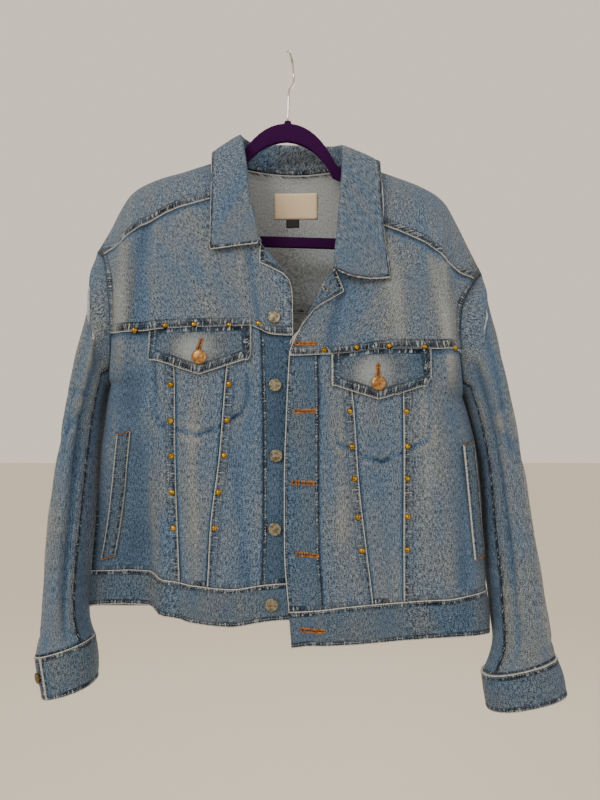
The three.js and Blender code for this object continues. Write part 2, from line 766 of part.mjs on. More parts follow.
// The turned corner of a front, lying on it
function turnedCorner(side, rows) {
  const { roll, edge } = turnedCorners[side];
  return wall(3, rows, (u, v, k) => {
    const from = onLine(roll, v);
    const to = onLine(edge, v);
    const [x, z] = [lerp(from[0], to[0], u), lerp(from[1], to[1], u)];
    const lift = overLift + 1.2 * Math.sin(Math.PI * Math.min(1, u + 0.25));
    return onBody(acrossAt(x, z), z, -1, k ? lift + denim : lift, side === "left");
  });
}

// The collar: up its stand, over the fold and down its fall
function collar() {
  const rail = (name, s) => {
    const rows = collarRails.map(({ s, [name]: [x, y, z] }) => ({ s, x, y, z }));
    return new THREE.Vector3(...["x", "y", "z"].map((axis) => between(rows, "s", s, axis)));
  };
  const section = (s, t) => {
    const [seam, fold, edge] = ["seam", "fold", "edge"].map((name) => rail(name, s));
    const stand = 0.3;
    if (t <= stand) return seam.lerp(fold, t / stand);
    const share = (t - stand) / (1 - stand);
    const fall = fold.clone().lerp(edge, share);
    const crown = Math.sin(Math.PI * share ** 0.6);
    const out = edge.clone().sub(seam);
    out.z = 0;
    return fall.addScaledVector(out.normalize(), 3 * crown * Math.min(1, fold.distanceTo(edge) / 60));
  };
  return wall(34, 10, (u, v, k) => {
    const s = clamp(u, 0.002, 0.998);
    const t = clamp(v, 0.002, 0.998);
    const near = lifted(section, s, t, 0.002, 0.002, k ? 0 : -denim);
    return near;
  });
}

// A ring round a sleeve or cuff, by degrees: 0 is its outer side, 90 front, 180 inner, 270 back.
function ringPoint(ring, degrees, shrink, side) {
  const turn = degToRad(degrees);
  const [c, s] = [Math.cos(turn), Math.sin(turn)];
  const round = (value) => Math.sign(value) * Math.abs(value) ** (2 / sleeveSquare);
  const outer = new THREE.Vector2(...ring.outer);
  const inner = new THREE.Vector2(...ring.inner);
  const size = outer.distanceTo(inner) / 2;
  const dent = ring.dent * Math.exp(-(((degrees - sleeveCrease[side]) / sleeveCrease.halfWidth) ** 2));
  const off = shrink + dent;
  const middle = outer.clone().add(inner).multiplyScalar(0.5);
  const arm = outer.clone().sub(middle).multiplyScalar((size - off) / size);
  const deep = (ring.back - ring.front) / 2;
  const at = middle.addScaledVector(arm, round(c));
  return new THREE.Vector3(at.x, (ring.back + ring.front) / 2 - (deep - off) * round(s), at.y);
}

// One part of a sleeve between two ring angles
function sleevePart(side, from, to, columns) {
  const rings = sleeveRings[side];
  const gapAngle = 0.35;
  return wall(columns, rings.length, (u, v, k) => {
    const row = Math.round(v * rings.length);
    const degrees = lerp(from + gapAngle, to - gapAngle, u);
    const shrink = k ? 0 : denim;
    if (row === 0) {
      const hole = armholes[side];
      const turn = -degToRad(degrees);
      const rim = rimPoint(side, turn > -Math.PI ? turn : turn + 2 * Math.PI);
      const middle = new THREE.Vector3(rim.x, hole.middle, (hole.top + hole.bottom) / 2);
      const toMiddle = middle.sub(rim).normalize();
      rim.addScaledVector(toMiddle, shrink);
      rim.x -= inward(side) * armholeGap;
      return rim;
    }
    const share = smooth(2, 6, row) * (1 - smooth(rings.length - 3, rings.length, row));
    return ringPoint({ ...rings[row - 1], dent: sleeveCrease.depth * share }, degrees, shrink, side);
  });
}

function cuff(side) {
  const { top, low, front, back, slit } = cuffs[side];
  return wall(24, 2, (u, v, k) => {
    const mix = (name) => [0, 1].map((n) => lerp(low[name][n], top[name][n], v));
    const ring = { outer: mix("outer"), inner: mix("inner"), front, back, dent: 0 };
    return ringPoint(ring, lerp(slit + 1.2, slit + 358.8, u), k ? 0 : doubled, side);
  });
}

// A flap under the chest seam, with a blunt point
function flap(side) {
  const { from, to, corner, point, pointX } = flaps[side];
  return wall(10, 3, (u, v, k) => {
    const x = lerp(from, to, u);
    const high = between(chestSeam[side], "x", x, "z") - seamGap;
    const reach = Math.abs(x - pointX) / (Math.abs(to - from) / 2);
    const low = reach > 0.86 ? corner : lerp(point, corner, reach / 0.86);
    const round = corner + flapSide * smooth(0.94, 1.04, reach);
    const z = lerp(Math.max(low, reach > 0.94 ? round : low), high, v);
    const puff = 1.2 * Math.sin(Math.PI * u);
    return onBody(acrossAt(x, z), z, -1, pocketLift + puff + (k ? doubled : 0), side === "left");
  });
}

function welt(side) {
  const { topX, topZ, lowX, lowZ, wide, lift } = welts[side];
  return wall(3, 10, (u, v, k) => {
    const z = lerp(lowZ, topZ, v) + lerp(-2, 2, u);
    const x = lerp(lowX, topX, v) + lerp(-wide / 2, wide / 2, u);
    return onBody(acrossAt(x, z), z, -1, lift + (k ? 2 : 0));
  });
}

// The woven label with its tab, laid inside the back neck
function neckLabel() {
  return wall(6, 4, (u, v, k) => {
    const onTab = v < 0.3;
    const stops = [label.fromX, lerp(label.fromX, sizeTab.fromX, 0.5), sizeTab.fromX, 2, sizeTab.toX,
      lerp(label.toX, sizeTab.toX, 0.5), label.toX];
    const column = Math.round(u * 6);
    const low = onTab && column >= 2 && column <= 4 ? sizeTab.lowZ : label.lowZ - 1;
    const level = (share) => lerp(label.lowZ, label.topZ, share);
    const levels = [low, label.lowZ, level(0.34), level(0.67), label.topZ];
    const z = levels[Math.round(v * 4)];
    const x = stops[column];
    return onBody(acrossAt(x, z), z, 1, -denim - layerGap - (k ? 0 : label.thick));
  });
}

// A turned shape standing on the cloth: profile rows are radius and height.
function standing(profile, sides, place, lift) {
  const points = profile.map(([radius, height]) => new THREE.Vector2(radius, height));
  const geometry = new THREE.LatheGeometry(points, sides);
  const normal = place(1).sub(place(0)).normalize();
  const turn = new THREE.Quaternion().setFromUnitVectors(new THREE.Vector3(0, 1, 0), normal);
  geometry.applyQuaternion(turn);
  const at = place(lift);
  geometry.translate(at.x, at.y, at.z);
  return geometry;
}

const onFront = (x, z) => (lift) => onBody(acrossAt(x, z), z, -1, lift, x > 0);

function button(radius) {
  const shank = radius * 0.45;
  return [[0, 0], [shank, 0], [shank, 1.4], [radius, 1.9], [radius, 3], [radius * 0.8, 3.9], [0, 4]];
}

// A place moved onto a piece's outer face, to stand square on it.
function seatedOn(piece, place) {
  const from = place(farOut);
  const towards = place(0).sub(from).normalize();
  const [hit] = new THREE.Raycaster(from, towards).intersectObject(piece);
  return (lift) => hit.point.clone().addScaledVector(hit.face.normal, lift);
}

const studProfile = [[0, 0], [studRadius, 0], [studRadius * 0.78, 1.3], [0, 2]];

// The flat moulded hanger, cut from one outline: arch, shoulders and bar
function hangerPlate() {
  const { halfWidth, archTop, archHalf, archDrop, band } = hanger;
  const { armEnd, armBand, barTop, barDeep, neckTop } = hanger;
  const archEnd = archTop - archDrop;
  const outline = new THREE.Shape();
  outline.moveTo(-3.6, neckTop);
  outline.lineTo(3.6, neckTop);
  outline.lineTo(4.8, archTop - 1);
  outline.quadraticCurveTo(archHalf * 0.5, archTop - 4, archHalf * 0.82, archEnd + 11);
  outline.quadraticCurveTo(archHalf * 0.9, archEnd + 3, archHalf, archEnd);
  outline.lineTo(halfWidth, armEnd);
  const tip = { x: halfWidth - 2, z: armEnd - armBand / 2 - 2, radius: armBand / 2 + 2 };
  outline.absarc(tip.x, tip.z, tip.radius, degToRad(70), degToRad(-45), true);
  outline.quadraticCurveTo(halfWidth - 18, barTop - barDeep + 4, halfWidth - 40, barTop - barDeep);
  outline.lineTo(-halfWidth + 40, barTop - barDeep);
  outline.quadraticCurveTo(-halfWidth + 18, barTop - barDeep + 4, -halfWidth - 4, armEnd - armBand - 6);
  outline.absarc(-tip.x, tip.z, tip.radius, degToRad(225), degToRad(110), true);
  outline.lineTo(-archHalf, archEnd);
  outline.quadraticCurveTo(-archHalf * 0.9, archEnd + 3, -archHalf * 0.82, archEnd + 11);
  outline.quadraticCurveTo(-archHalf * 0.5, archTop - 4, -4.8, archTop - 1);
  outline.closePath();
  const inside = new THREE.Path();
  inside.moveTo(0, archTop - band);
  inside.quadraticCurveTo(archHalf * 0.52, archTop - band - 3, archHalf - 16, archEnd - band + 16);
  inside.lineTo(halfWidth - 16, armEnd - armBand);
  inside.quadraticCurveTo(halfWidth - 18, barTop + 2, halfWidth - 40, barTop);
  inside.lineTo(-halfWidth + 40, barTop);
  inside.quadraticCurveTo(-halfWidth + 18, barTop + 2, -halfWidth + 16, armEnd - armBand);
  inside.lineTo(-archHalf + 16, archEnd - band + 16);
  inside.quadraticCurveTo(-archHalf * 0.52, archTop - band - 3, 0, archTop - band);
  outline.holes.push(new THREE.Path(inside.getPoints(8).slice(1).reverse()));
  const plate = new THREE.ExtrudeGeometry(outline, {
    depth: hanger.thick,
    bevelEnabled: false,
    curveSegments: 8,
  });
  plate.rotateX(Math.PI / 2);
  plate.translate(0, hanger.thick / 2, 0);
  plate.rotateY(degToRad(hangerTilt));
  return plate;
}

// The hook: a straight shank that swings out, round over the top and down to its tip
function hangerHook() {
  const { wire, radius, turn, tip } = hook;
  const middle = -radius;
  const arc = radius + wire;
  const out = new THREE.Vector3(Math.cos(degToRad(turn)), Math.sin(degToRad(turn)), 0);
  const places = [];
  places.push(new THREE.Vector3(-2.6, 0, hanger.neckTop + seamGap));
  places.push(new THREE.Vector3(-2, 0, hanger.neckTop + 16));
  places.push(new THREE.Vector3(-1.2, 0, -50));
  for (let degrees = -52; degrees <= tip - 90; degrees += 16) {
    const angle = degToRad(degrees);
    const place = out.clone().multiplyScalar(arc * Math.cos(angle));
    place.z = middle + arc * Math.sin(angle);
    places.push(place);
  }
  const section = new THREE.Shape();
  section.absarc(0, 0, wire, 0, 2 * Math.PI);
  return new THREE.ExtrudeGeometry(section, {
    steps: 22,
    curveSegments: 4,
    bevelEnabled: false,
    extrudePath: new THREE.CatmullRomCurve3(places),
  });
}

for (const side of ["right", "left"]) {
  const end = side === "right" ? "r" : "l";
  const strip = (outer, inner, columns) => frontStrip(side, outer, inner, columns, stripRows);
  const sidePanel = add(`front_side_${end}`, strip("side", "outer", stripColumns[0]), look.denim);
  add(`front_middle_${end}`, strip("outer", "inner", stripColumns[1]), look.denim);
  const centrePanel = add(`front_centre_${end}`, strip("inner", "placket", stripColumns[2]), look.denim);
  add(`placket_${end}`, strip("placket", "edge", stripColumns[3]), look.denim);
  add(`front_yoke_${end}`, frontYoke(side), look.denim);
  add(`facing_${end}`, turnedCorner(side, side === "right" ? 5 : 9), look.denim);
  add(`waistband_front_${end}`, frontBand(side), look.denim);
  add(`sleeve_top_${end}`, sleevePart(side, underEnd - 360, underStart, 15), look.denim);
  add(`sleeve_under_${end}`, sleevePart(side, underStart, underEnd, 6), look.denim);
  add(`cuff_${end}`, cuff(side), look.denim);
  add(`flap_${end}`, flap(side), look.denim);
  add(`welt_${end}`, welt(side), look.denim);
  const place = onFront(...flapButtonPlaces[side]);
  add(`flap_button_${end}`, standing(button(flapButtonRadius), 12, place, doubled + 2.3), look.copper);
  studHeights[side].forEach((z, row) => {
    for (const seam of ["outer", "inner"]) {
      const away = (seam === "outer" ? 1 : -1) * studInset * -inward(side);
      const panel = seam === "outer" ? sidePanel : centrePanel;
      const spot = seatedOn(panel, onFront(seamX(side, seam, z) + away, z));
      add(`stud_${seam}_${end}_${row + 1}`, standing(studProfile, 6, spot, studClear), look.brass);
    }
  });
}

add("back_panel", backPanel(), look.denim);
add("back_yoke", backYoke(), look.denim);
add("waistband_back", backBand(), look.denim);
add("collar", collar(), look.denim);
buttonPlaces.forEach(([x, z], row) => {
  const lift = row === buttonPlaces.length - 1 ? 0.6 + seamGap : seamGap;
  add(`front_button_${row + 1}`, standing(button(frontButtonRadius), 12, onFront(x, z), lift), look.nickel);
});
for (const side of ["right", "left"]) {
  const { top, low, front, back, slit } = cuffs[side];
  const mix = (name) => [0, 1].map((n) => lerp(low[name][n], top[name][n], cuffButton.along));
  const ring = { outer: mix("outer"), inner: mix("inner"), front, back, dent: 0 };
  const degrees = side === "right" ? slit - 20 : slit + 20;
  const place = (lift) => ringPoint(ring, degrees, -lift, side);
  const name = `cuff_button_${side === "right" ? "r" : "l"}`;
  add(name, standing(button(cuffButton.radius), 12, place, layerGap), look.nickel);
}
add("neck_label", neckLabel(), look.label);
add("hanger", hangerPlate(), look.velvet);
add("hanger_hook", hangerHook(), look.steel);

export default jacket;
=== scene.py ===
# A light denim jacket with metal studs, hanging on a slim velvet hanger.
import math

import bmesh
import bpy
import numpy as np
from mathutils import Matrix, Vector


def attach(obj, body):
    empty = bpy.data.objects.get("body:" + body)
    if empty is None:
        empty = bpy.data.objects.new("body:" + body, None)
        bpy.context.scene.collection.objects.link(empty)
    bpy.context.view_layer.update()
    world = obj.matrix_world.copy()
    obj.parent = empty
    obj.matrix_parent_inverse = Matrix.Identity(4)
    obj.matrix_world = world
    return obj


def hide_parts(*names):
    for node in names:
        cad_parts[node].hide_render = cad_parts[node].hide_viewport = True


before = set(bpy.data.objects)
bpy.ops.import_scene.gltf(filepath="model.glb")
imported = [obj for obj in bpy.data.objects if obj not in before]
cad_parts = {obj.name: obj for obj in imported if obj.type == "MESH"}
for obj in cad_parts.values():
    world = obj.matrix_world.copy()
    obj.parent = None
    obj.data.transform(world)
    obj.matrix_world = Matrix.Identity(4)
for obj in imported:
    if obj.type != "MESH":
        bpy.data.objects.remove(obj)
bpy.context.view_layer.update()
print("frame loaded")

mm = 0.001
denim = 1.6
doubled = 2.6
layerGap = 0.35
overLift = 1.0
studRadius = 3.5

# The garment's sizes in mm, as in the part: X to the wearer's left, the front faces -Y.
bodyEdges = [
  { "z": -745, "right": -247, "left": 244 },
  { "z": -690, "right": -246.5, "left": 240.5 },
  { "z": -640, "right": -244, "left": 238 },
  { "z": -600, "right": -241, "left": 236 },
  { "z": -550, "right": -237, "left": 233.5 },
  { "z": -507, "right": -231.5, "left": 229 },
  { "z": -470, "right": -226, "left": 220 },
  { "z": -445, "right": -222.5, "left": 212.5 },
  { "z": -420, "right": -217, "left": 206 },
  { "z": -395, "right": -212.5, "left": 202 },
  { "z": -370, "right": -211, "left": 201 },
  { "z": -345, "right": -212, "left": 204 },
  { "z": -325, "right": -214.5, "left": 212 },
  { "z": -308, "right": -217.5, "left": 224.5 },
  { "z": -290, "right": -221.5, "left": 240.5 },
  { "z": -276, "right": -228, "left": 240.5 },
  { "z": -262, "right": -242, "left": 240.5 },
  { "z": -100, "right": -242, "left": 240.5 },
]

bodyDepths = [
  { "z": -745, "front": -57, "back": 44, "square": 2.7 },
  { "z": -690, "front": -60, "back": 46, "square": 2.7 },
  { "z": -500, "front": -61, "back": 48, "square": 2.9 },
  { "z": -370, "front": -59, "back": 48, "square": 3.2 },
  { "z": -300, "front": -54, "back": 47, "square": 3.2 },
  { "z": -250, "front": -47, "back": 46, "square": 3 },
  { "z": -200, "front": -40, "back": 46, "square": 3 },
  { "z": -100, "front": -32, "back": 46, "square": 3 },
]

ridgeLine = [
  { "x": -242, "z": -262 },
  { "x": -232, "z": -246 },
  { "x": -216, "z": -212 },
  { "x": -207, "z": -196.5 },
  { "x": -199, "z": -186.5 },
  { "x": -188, "z": -178 },
  { "x": -173, "z": -171 },
  { "x": -138, "z": -159.5 },
  { "x": -100, "z": -146 },
  { "x": -60, "z": -133 },
  { "x": 0, "z": -120 },
  { "x": 64, "z": -140.5 },
  { "x": 113, "z": -158 },
  { "x": 143, "z": -168.5 },
  { "x": 176, "z": -182 },
  { "x": 195, "z": -197 },
  { "x": 215, "z": -234 },
  { "x": 233, "z": -277 },
  { "x": 240.5, "z": -290 },
]

armholes = {
  "right": { "top": -262, "bottom": -432, "middle": -2, "front": 42, "back": 40 },
  "left": { "top": -290, "bottom": -447, "middle": -2, "front": 42, "back": 40 },
}

bodyFolds = [
  { "face": -1, "topX": -172, "topZ": -225, "lowX": -170, "lowZ": -375, "width": 13, "rise": -5 },
  { "face": -1, "topX": -198, "topZ": -262, "lowX": -196, "lowZ": -395, "width": 10, "rise": 6 },
  { "face": -1, "topX": 182, "topZ": -275, "lowX": 190, "lowZ": -420, "width": 10, "rise": 9 },
  { "face": -1, "topX": -148, "topZ": -420, "lowX": -142, "lowZ": -560, "width": 12, "rise": 5 },
  { "face": -1, "topX": -185, "topZ": -440, "lowX": -190, "lowZ": -640, "width": 20, "rise": -6 },
  { "face": -1, "topX": 172, "topZ": -470, "lowX": 186, "lowZ": -680, "width": 20, "rise": 5 },
  { "face": -1, "topX": -50, "topZ": -300, "lowX": -62, "lowZ": -380, "width": 20, "rise": -3 },
  { "face": -1, "topX": 84, "topZ": -320, "lowX": 92, "lowZ": -395, "width": 22, "rise": -3 },
  { "face": 1, "topX": -150, "topZ": -300, "lowX": -160, "lowZ": -690, "width": 24, "rise": 7 },
  { "face": 1, "topX": -70, "topZ": -380, "lowX": -58, "lowZ": -710, "width": 22, "rise": -6 },
  { "face": 1, "topX": 35, "topZ": -330, "lowX": 48, "lowZ": -700, "width": 26, "rise": 6 },
  { "face": 1, "topX": 128, "topZ": -350, "lowX": 140, "lowZ": -690, "width": 22, "rise": -7 },
]

hemRecess = { "fromX": -141, "toX": -173, "fromZ": -430, "toZ": -640, "depth": 46 }

lapWide = { "none": 64, "full": 30 }

chestSeam = {
  "right": [
    { "x": -212, "z": -374 },
    { "x": -183, "z": -376 },
    { "x": -160, "z": -373.5 },
    { "x": -127, "z": -370.5 },
    { "x": -92, "z": -369.5 },
    { "x": -43, "z": -368 },
    { "x": -31, "z": -373.5 },
    { "x": -16, "z": -378 },
    { "x": 6, "z": -380 },
  ],
  "left": [
    { "x": -6, "z": -404.5 },
    { "x": 33, "z": -403 },
    { "x": 65, "z": -400.5 },
    { "x": 106, "z": -395.5 },
    { "x": 147, "z": -395 },
    { "x": 177, "z": -395.5 },
    { "x": 202, "z": -398 },
  ],
}

waistSeam = {
  "right": [
    { "x": -247, "z": -662 },
    { "x": -176, "z": -661 },
    { "x": -135, "z": -660 },
    { "x": -111, "z": -665 },
    { "x": -60, "z": -669 },
    { "x": -26, "z": -664 },
    { "x": 6, "z": -662 },
  ],
  "left": [
    { "x": -6, "z": -693 },
    { "x": 42, "z": -690.5 },
    { "x": 85, "z": -687 },
    { "x": 134, "z": -684 },
    { "x": 197, "z": -681 },
    { "x": 244, "z": -680 },
  ],
}

hemLine = {
  "right": [
    { "x": -247, "z": -705 },
    { "x": -176, "z": -702 },
    { "x": -135, "z": -701 },
    { "x": -111, "z": -707 },
    { "x": -60, "z": -711.5 },
    { "x": -26, "z": -705.5 },
    { "x": 6, "z": -703 },
  ],
  "left": [
    { "x": -6, "z": -734 },
    { "x": 19, "z": -731 },
    { "x": 53, "z": -732 },
    { "x": 100, "z": -729.5 },
    { "x": 150, "z": -727 },
    { "x": 196, "z": -729.5 },
    { "x": 244, "z": -734 },
  ],
}

backWaist = { "right": -664, "left": -682 }

backHem = { "right": -706, "left": -734 }

backYokeSeam = { "right": -322, "left": -338 }

frontSeams = {
  "right": [
    { "z": -745, "outer": -121, "inner": -97, "placket": -29, "edge": 5 },
    { "z": -661, "outer": -123.6, "inner": -92, "placket": -29, "edge": 5 },
    { "z": -600, "outer": -126.7, "inner": -89.3, "placket": -28, "edge": 5 },
    { "z": -520, "outer": -130, "inner": -80, "placket": -28.3, "edge": 5 },
    { "z": -437, "outer": -132, "inner": -74, "placket": -29.7, "edge": 5 },
    { "z": -370, "outer": -135, "inner": -69, "placket": -32, "edge": 5 },
  ],
  "left": [
    { "z": -745, "outer": 130, "inner": 100, "placket": 40, "edge": 4.5 },
    { "z": -691, "outer": 130.6, "inner": 96.3, "placket": 38, "edge": 0 },
    { "z": -626, "outer": 131, "inner": 88.9, "placket": 34.5, "edge": -5 },
    { "z": -550, "outer": 132, "inner": 80.6, "placket": 33.5, "edge": -5.4 },
    { "z": -468, "outer": 132.5, "inner": 75.6, "placket": 33.6, "edge": -3 },
    { "z": -395, "outer": 132, "inner": 68, "placket": 32.7, "edge": 0.5 },
  ],
}

shoulderSeam = {
  "right": [
    [-228, -276],
    [-213, -269.5],
    [-202, -259],
    [-183, -240],
    [-162, -229.5],
    [-135, -217],
    [-98, -207],
    [-66, -198.5],
  ],
  "left": [
    [225.5, -307],
    [206, -303],
    [190, -291],
    [179, -279],
    [165, -264],
    [135, -250.5],
    [112, -242],
    [73, -232],
  ],
}

neckEdge = {
  "right": [
    [5, -380],
    [4.5, -333],
    [3, -322],
    [0.5, -312],
    [-6.5, -302],
    [-21, -283],
    [-32, -269],
    [-48, -240],
    [-60, -215],
    [-66, -198.5],
  ],
  "left": [
    [0.5, -400],
    [4, -389],
    [16, -365],
    [30, -341],
    [36, -328],
    [42, -314],
    [52, -303],
    [63, -275],
    [69, -250],
    [73, -232],
  ],
}

turnedCorners = {
  "right": {
    "roll": [[-31, -270], [-21, -283], [-6.5, -302], [0, -311]],
    "edge": [[-34.5, -270], [-35, -291], [-21, -298.5], [-6.5, -306.5], [1, -315]],
  },
  "left": {
    "roll": [[52, -303], [42, -314], [36, -328], [30, -341], [16, -365], [5, -388]],
    "edge": [
      [55, -303], [65, -327], [60, -330], [41, -342],
      [29.5, -350], [12, -373.5], [2, -386], [1, -391],
    ],
  },
}

collarRails = [
  { "s": 0, "seam": [-33, -52, -267], "fold": [-34.5, -54.5, -266.5], "edge": [-36, -56, -269.5] },
  { "s": 0.05, "seam": [-39, -50.5, -256], "fold": [-38, -53.5, -252], "edge": [-58, -56, -272] },
  { "s": 0.12, "seam": [-48, -47.5, -236], "fold": [-43, -50.5, -228], "edge": [-78, -56, -275] },
  { "s": 0.2, "seam": [-59, -41, -207], "fold": [-50, -44, -194], "edge": [-93, -56, -277] },
  { "s": 0.29, "seam": [-67, -27.5, -165], "fold": [-56, -31, -147], "edge": [-94, -45, -222] },
  { "s": 0.37, "seam": [-72.6, -6, -135.6], "fold": [-62, -4, -111], "edge": [-98, -10, -138.5] },
  { "s": 0.43, "seam": [-57, 20.8, -142], "fold": [-47, 26, -106.5], "edge": [-88, 41, -156.5] },
  { "s": 0.5, "seam": [2, 31, -147.3], "fold": [2, 36, -103], "edge": [3, 50, -173] },
  { "s": 0.57, "seam": [62.5, 19.6, -147.1], "fold": [53, 26, -110], "edge": [96, 42, -167] },
  { "s": 0.63, "seam": [80.2, -8, -146.2], "fold": [67, -4, -125], "edge": [114, -10, -150] },
  { "s": 0.71, "seam": [76, -32.5, -185], "fold": [65, -37, -168], "edge": [113, -46, -230] },
  { "s": 0.8, "seam": [69, -46.5, -234], "fold": [61, -50, -218], "edge": [118.5, -59, -311] },
  { "s": 0.88, "seam": [64, -51.5, -268], "fold": [57.5, -55.5, -256], "edge": [98, -60.5, -313.5] },
  { "s": 0.95, "seam": [57.5, -56.5, -291], "fold": [54.5, -60, -286], "edge": [76, -62, -311] },
  { "s": 1, "seam": [53.5, -58.5, -301], "fold": [54, -61.5, -300], "edge": [56.5, -63, -304] },
]

sleeveRings = {
  "right": [
    { "outer": [-243.5, -279], "inner": [-224.5, -436], "front": -47, "back": 46 },
    { "outer": [-243.5, -300], "inner": [-226, -440], "front": -49, "back": 52 },
    { "outer": [-246, -332], "inner": [-227, -445], "front": -50, "back": 58 },
    { "outer": [-255, -370], "inner": [-228.5, -451], "front": -51, "back": 62 },
    { "outer": [-262.5, -407], "inner": [-230, -459], "front": -51, "back": 65 },
    { "outer": [-268, -440], "inner": [-232, -472], "front": -51, "back": 67 },
    { "outer": [-274, -477], "inner": [-235, -494], "front": -50, "back": 67 },
    { "outer": [-280.5, -523], "inner": [-238.5, -532], "front": -49, "back": 66 },
    { "outer": [-286.5, -577], "inner": [-243, -582], "front": -47, "back": 62 },
    { "outer": [-291, -640], "inner": [-248, -642], "front": -45, "back": 54 },
    { "outer": [-293.5, -690], "inner": [-249.5, -690], "front": -44, "back": 44 },
    { "outer": [-296.5, -724], "inner": [-246, -718], "front": -43, "back": 34 },
    { "outer": [-301.5, -755.1], "inner": [-237.2, -736], "front": -42.6, "back": 24.6 },
  ],
  "left": [
    { "outer": [241.8, -303], "inner": [216, -451], "front": -46, "back": 46 },
    { "outer": [244.8, -320], "inner": [218, -456], "front": -47, "back": 52 },
    { "outer": [250, -345], "inner": [220, -462], "front": -48, "back": 57 },
    { "outer": [257.5, -375], "inner": [222.5, -470], "front": -49, "back": 61 },
    { "outer": [263.5, -405], "inner": [225.5, -481], "front": -49, "back": 64 },
    { "outer": [268.5, -440], "inner": [229, -497], "front": -49, "back": 65 },
    { "outer": [275, -480], "inner": [233, -518], "front": -48, "back": 65 },
    { "outer": [283.5, -530], "inner": [236.5, -550], "front": -47, "back": 63 },
    { "outer": [293, -590], "inner": [239.5, -600], "front": -45, "back": 58 },
    { "outer": [302.5, -648], "inner": [243, -654], "front": -44, "back": 48 },
    { "outer": [309, -700], "inner": [246, -706], "front": -42, "back": 36 },
    { "outer": [313.5, -736], "inner": [246.5, -745], "front": -40, "back": 24 },
    { "outer": [317, -755], "inner": [234, -776], "front": -38, "back": 14 },
  ],
}

cuffs = {
  "right": {
    "top": { "outer": [-302.3, -755.5], "inner": [-236.5, -736.5] },
    "low": { "outer": [-291.5, -803], "inner": [-232, -788] },
    "front": -43,
    "back": 25,
    "slit": 60,
  },
  "left": {
    "top": { "outer": [318.5, -756.5], "inner": [230.5, -777.5] },
    "low": { "outer": [329.5, -800], "inner": [236, -819] },
    "front": -39,
    "back": 15,
    "slit": 300,
  },
}

flaps = {
  "right": { "from": -162, "to": -43.5, "corner": -409, "point": -425.5, "pointX": -103.5 },
  "left": { "from": 49, "to": 165, "corner": -439, "point": -454.5, "pointX": 103.8 },
}

welts = {
  "right": { "topX": -197.5, "topZ": -492, "lowX": -224.5, "lowZ": -646, "wide": 17, "lift": 2.4 },
  "left": { "topX": 212, "topZ": -505, "lowX": 225, "lowZ": -640, "wide": 15, "lift": 1 },
}

buttonPlaces = [[-17, -358], [-15.8, -438], [-14.6, -519], [-15.3, -602], [-19, -685]]

flapButtonPlaces = { "right": [-103, -405.5], "left": [102.8, -435.5] }

studHeights = {
  "right": [-437, -478.5, -519, -560.5, -601],
  "left": [-468, -508.5, -545, -589, -626],
}

label = { "fromX": -22, "toX": 37, "topZ": -170, "lowZ": -203.5, "thick": 0.7 }

sizeTab = { "fromX": -6, "toX": 11, "lowZ": -215 }

hanger = {
  "thick": 6,
  "halfWidth": 191,
  "neckTop": -90,
  "archTop": -93,
  "archHalf": 76,
  "archDrop": 62,
  "band": 24,
  "armEnd": -196,
  "armBand": 15,
  "barTop": -243,
  "barDeep": 13,
}

hook = { "wire": 1.8, "radius": 18, "turn": 75, "tip": 215 }
underStart = 142
underEnd = 236
sleeveSquare = 2.3
foldFade = 45
lapRise = 4.6
ridgeRounding = 130
ridgeSquare = 2.2
sleeveCrease = {"right": 118, "left": 128, "halfWidth": 16, "depth": 5}

